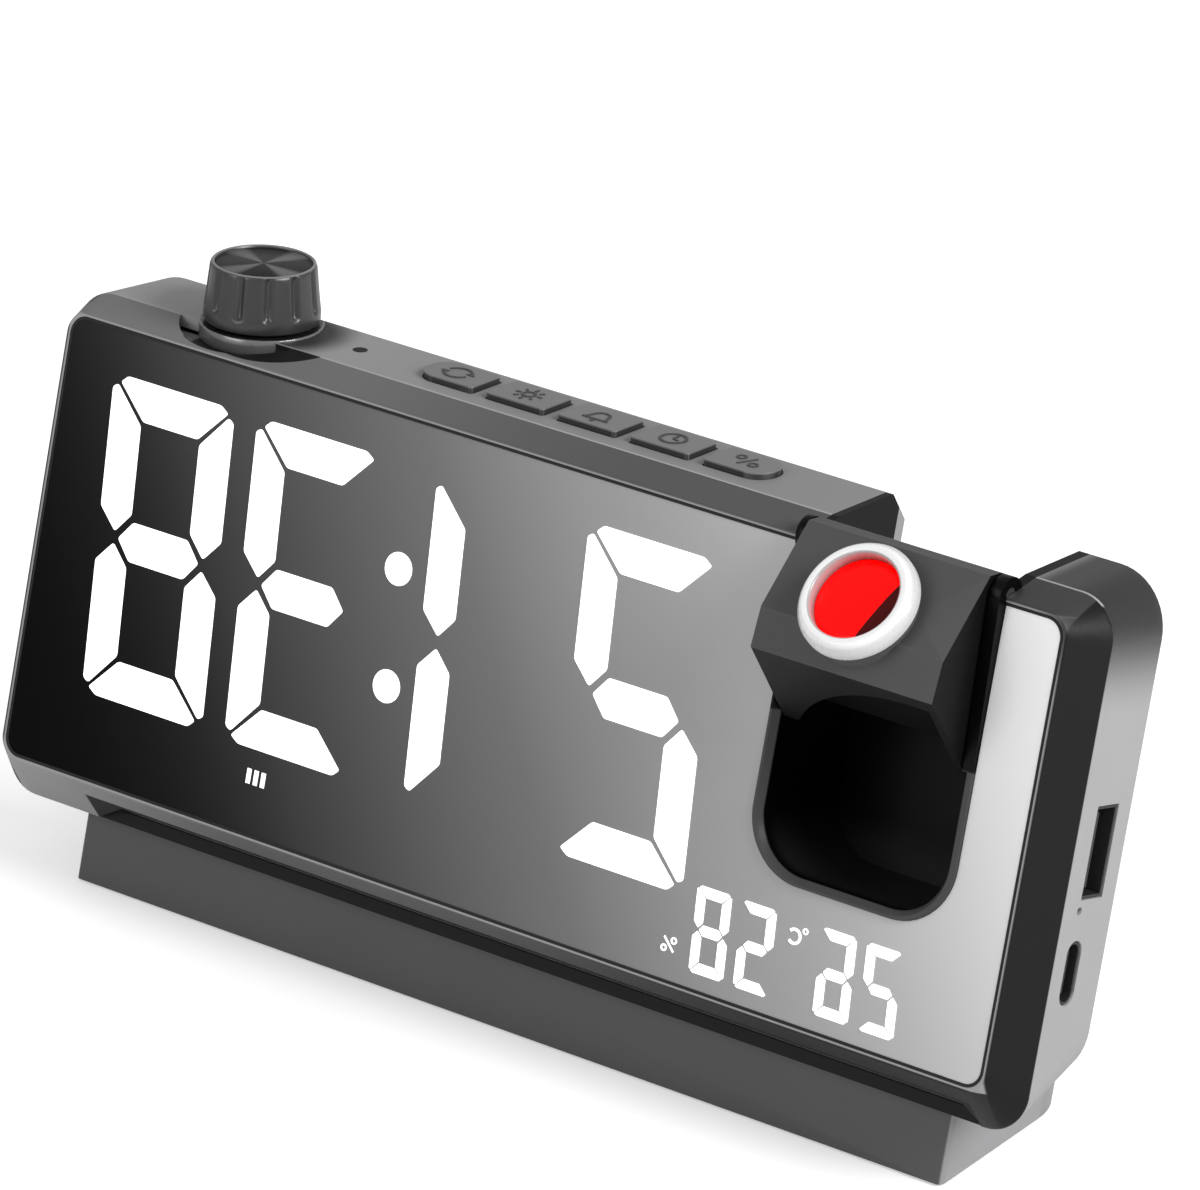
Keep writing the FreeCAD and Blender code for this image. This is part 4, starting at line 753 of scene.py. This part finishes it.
# The knob's top: a spun disc whose turned face shows four light and four dark wedges of painted
# reflection.
spun_disc = Plastic("spun_disc", (0.006, 0.006, 0.0065), 0.3, grain=900.0)
spun_disc.shader.inputs["Specular IOR Level"].default_value = 0.2
WEDGES = 4
WEDGE_START = 0.9
disc_place = spun_disc.tree.nodes.new("ShaderNodeTexCoord")
turn_share = spun_disc.tree.nodes.new("ShaderNodeTexGradient")
turn_share.gradient_type = "RADIAL"
spun_disc.join(disc_place.outputs["Object"], turn_share.inputs["Vector"])
wedge_angle = spun_disc.tree.nodes.new("ShaderNodeMath")
wedge_angle.operation = "MULTIPLY_ADD"
wedge_angle.inputs[1].default_value = 2 * math.pi * WEDGES
wedge_angle.inputs[2].default_value = WEDGE_START
spun_disc.join(turn_share.outputs["Fac"], wedge_angle.inputs[0])
wedge_wave = spun_disc.tree.nodes.new("ShaderNodeMath")
wedge_wave.operation = "COSINE"
spun_disc.join(wedge_angle.outputs[0], wedge_wave.inputs[0])
spun_disc.shade(0.11, spun_disc.past(wedge_wave.outputs[0], 0.5, 0.5, unit=1))
disc_profile = [(0, 9.44), (7.42, 9.44), (7.42, 9.56), (7.3, 9.62), (0, 9.58)]
knob_disc = lathe("knob_disc", disc_profile, knob_frame, spun_disc.material, "knob_body")

# The collar: a black plated washer that is fixed under the knob, with a painted highlight along its
# edge.
COLLAR_GLINT_FROM = 9.35
collar_black = Plastic("collar_plating", (0.03, 0.03, 0.032), 0.16, grain=2000.0, mottle=0.05)
collar_black.shader.inputs["Metallic"].default_value = 0.6
collar_reach = collar_black.reach(KNOB_FOOT, TOP_OUT)
collar_black.tint(collar_black.past(collar_reach, COLLAR_GLINT_FROM, 0.08), (0.22, 0.22, 0.225))
dress(collar_black.material, "knob_collar")
soften(0.12, "knob_collar")

# The push buttons: five flat caps of the case's own grey, round only at the two ends of the
# row.  Each carries a small raised pictogram.
FIRST_BUTTON = -34.4
BUTTON_PITCH = 13.6
BUTTON_HALF = 5.45
ROW_MIDDLE = 6.95
CAP_TOP = 1.0
SIDE_SHADE_TOP = 0.78
SIGN_SUNK = 0.05
SIGN_THICK = 0.2
button_grey = Plastic("button_plastic", (0.16, 0.16, 0.163), 0.4)
button_height = button_grey.distance(CREASE_LINE, TOP_OUT)
# Painted shade: the caps' side walls, below their top, are painted near black.
button_grey.tint(button_grey.past(button_height, SIDE_SHADE_TOP, -0.1), (0.02, 0.02, 0.0205))
sign_grey = Plastic("pictogram_plastic", (0.045, 0.045, 0.047), 0.45)
cap_frame = axes(CREASE_LINE + MM * (CAP_TOP - SIGN_SUNK) * TOP_OUT, ACROSS, TOP_ALONG, TOP_OUT)


def cycle_sign(u, v):
    """Two curved arrows."""
    return [arc_stroke(u, v, 2.1, 20, 140, 0.4), arc_stroke(u, v, 2.1, 200, 140, 0.4),
            [(u + 1.4, v + 0.2), (u + 2.9, v + 0.2), (u + 2.1, v + 1.2)],
            [(u - 1.4, v - 0.2), (u - 2.9, v - 0.2), (u - 2.1, v - 1.2)]]


def sun_sign(u, v):
    """A ring with eight rays."""
    rays = [math.radians(45 * number) for number in range(8)]
    return [arc_stroke(u, v, 1.0, 0, 358, 0.4)] + [
        line_stroke((u + 1.6 * math.cos(a), v + 1.6 * math.sin(a)),
                    (u + 2.4 * math.cos(a), v + 2.4 * math.sin(a)), 0.35) for a in rays]


def bell_sign(u, v):
    """A bell over its clapper."""
    return [arc_stroke(u, v, 1.4, 0, 180, 0.4), line_stroke((u - 1.4, v), (u - 1.9, v - 1.4), 0.4),
            line_stroke((u + 1.4, v), (u + 1.9, v - 1.4), 0.4),
            line_stroke((u - 2.3, v - 1.5), (u + 2.3, v - 1.5), 0.4), ring_points(u, v - 2.2, 0.35)]


def clock_sign(u, v):
    """A dial with two hands."""
    return [arc_stroke(u, v, 2.0, 0, 358, 0.4), line_stroke((u, v), (u, v + 1.4), 0.35),
            line_stroke((u, v), (u + 1.1, v - 0.4), 0.35)]


def two_ring_sign(u, v):
    """Two small rings with a slanting stroke between them."""
    return [arc_stroke(u - 1.6, v + 0.9, 0.7, 0, 358, 0.32),
            line_stroke((u - 0.6, v - 1.7), (u + 0.8, v + 1.7), 0.35),
            arc_stroke(u + 1.7, v - 0.8, 0.7, 0, 358, 0.32)]


SIGNS = (cycle_sign, sun_sign, bell_sign, clock_sign, two_ring_sign)
for number, sign in enumerate(SIGNS, start=1):
    middle = FIRST_BUTTON + (number - 1) * BUTTON_PITCH + BUTTON_HALF
    plate("button_sign_%d" % number, sign(middle, ROW_MIDDLE), cap_frame, SIGN_THICK, sign_grey.material,
          "button_%d_body" % number)
    dress(button_grey.material, "button_%d" % number)
    soften(0.3, "button_%d" % number)

# Painted shade over the light sensor's hole: a thin black disc that lies almost flush in the top,
# between the knob and the buttons.
SENSOR_X = -47.8
SENSOR_ALONG = 6.8
SENSOR_R = 1.15
SENSOR_SUNK = 0.02
top_frame = axes(CREASE_LINE - MM * SENSOR_SUNK * TOP_OUT, ACROSS, TOP_ALONG, TOP_OUT)
plate("sensor_hole_shade", [ring_points(SENSOR_X, SENSOR_ALONG, SENSOR_R)], top_frame, 0.05,
      shade_and_seal_black.material, "root")

# The side sockets: dark plated steel shells with dark plastic tongues, on a small board inside the
# right wall.  The light sensor and the reset switch sit behind their pinholes.
socket_metal = Plastic("socket_metal", (0.05, 0.05, 0.052), 0.45, grain=2600.0)
socket_metal.shader.inputs["Metallic"].default_value = 0.7
dress(socket_metal.material, "usb_a_shell", "usb_c_shell")
tongue_black = Plastic("tongue_plastic", (0.02, 0.02, 0.022), 0.5)
dress(tongue_black.material, "usb_a_tongue", "usb_c_tongue", "reset_switch")
sensor_clear = Plastic("sensor_plastic", (0.35, 0.35, 0.36), 0.3, grain=600.0)
dress(sensor_clear.material, "light_sensor")

# The foot: a solid-looking grey plinth under the case, its front set back and in shade.  A
# plate with four rubber pads closes it below.
foot_grey = Plastic("foot_plastic", (0.27, 0.27, 0.275), 0.44)
FOOT_FRONT = 10.35
foot_depth = foot_grey.distance(CASE_MIDDLE, INWARD)
foot_grey.shader.inputs["Specular IOR Level"].default_value = 0.25
foot_grey.tint(foot_grey.past(foot_depth, FOOT_FRONT, -0.1), (0.082, 0.082, 0.084))
dress(foot_grey.material, "foot")
soften(0.4, "foot")
plate_grey = Plastic("plate_plastic", (0.10, 0.10, 0.10), 0.55)
dress(plate_grey.material, "foot_plate")
soften(0.15, "foot_plate")
pad_rubber = Plastic("pad_rubber", (0.02, 0.02, 0.02), 0.85, grain=1200.0, bump=0.25)
dress(pad_rubber.material, "rubber_pads")
soften(0.15, "rubber_pads")

# The electronics inside: green boards, black chips and switches, the black mask with its
# frosted light windows, the speaker and the cell holder.
board_green = Plastic("board_lacquer", (0.02, 0.13, 0.05), 0.35, grain=500.0, mottle=0.3)
dress(board_green.material, "display_board", "main_board", "button_board", "socket_board")
part_black = Plastic("part_plastic", (0.018, 0.018, 0.018), 0.5)
dress(part_black.material, "board_chips", "board_header", "tact_switches", "rotary_control",
      "cell_holder", "display_mask")
cone_paper = Plastic("speaker_paper", (0.03, 0.03, 0.03), 0.8, grain=700.0, bump=0.3)
dress(cone_paper.material, "alarm_speaker")
frosted = Plastic("frosted_window", (0.85, 0.85, 0.85), 0.6)
dress(frosted.material, "time_windows", "small_windows", "colon_windows")
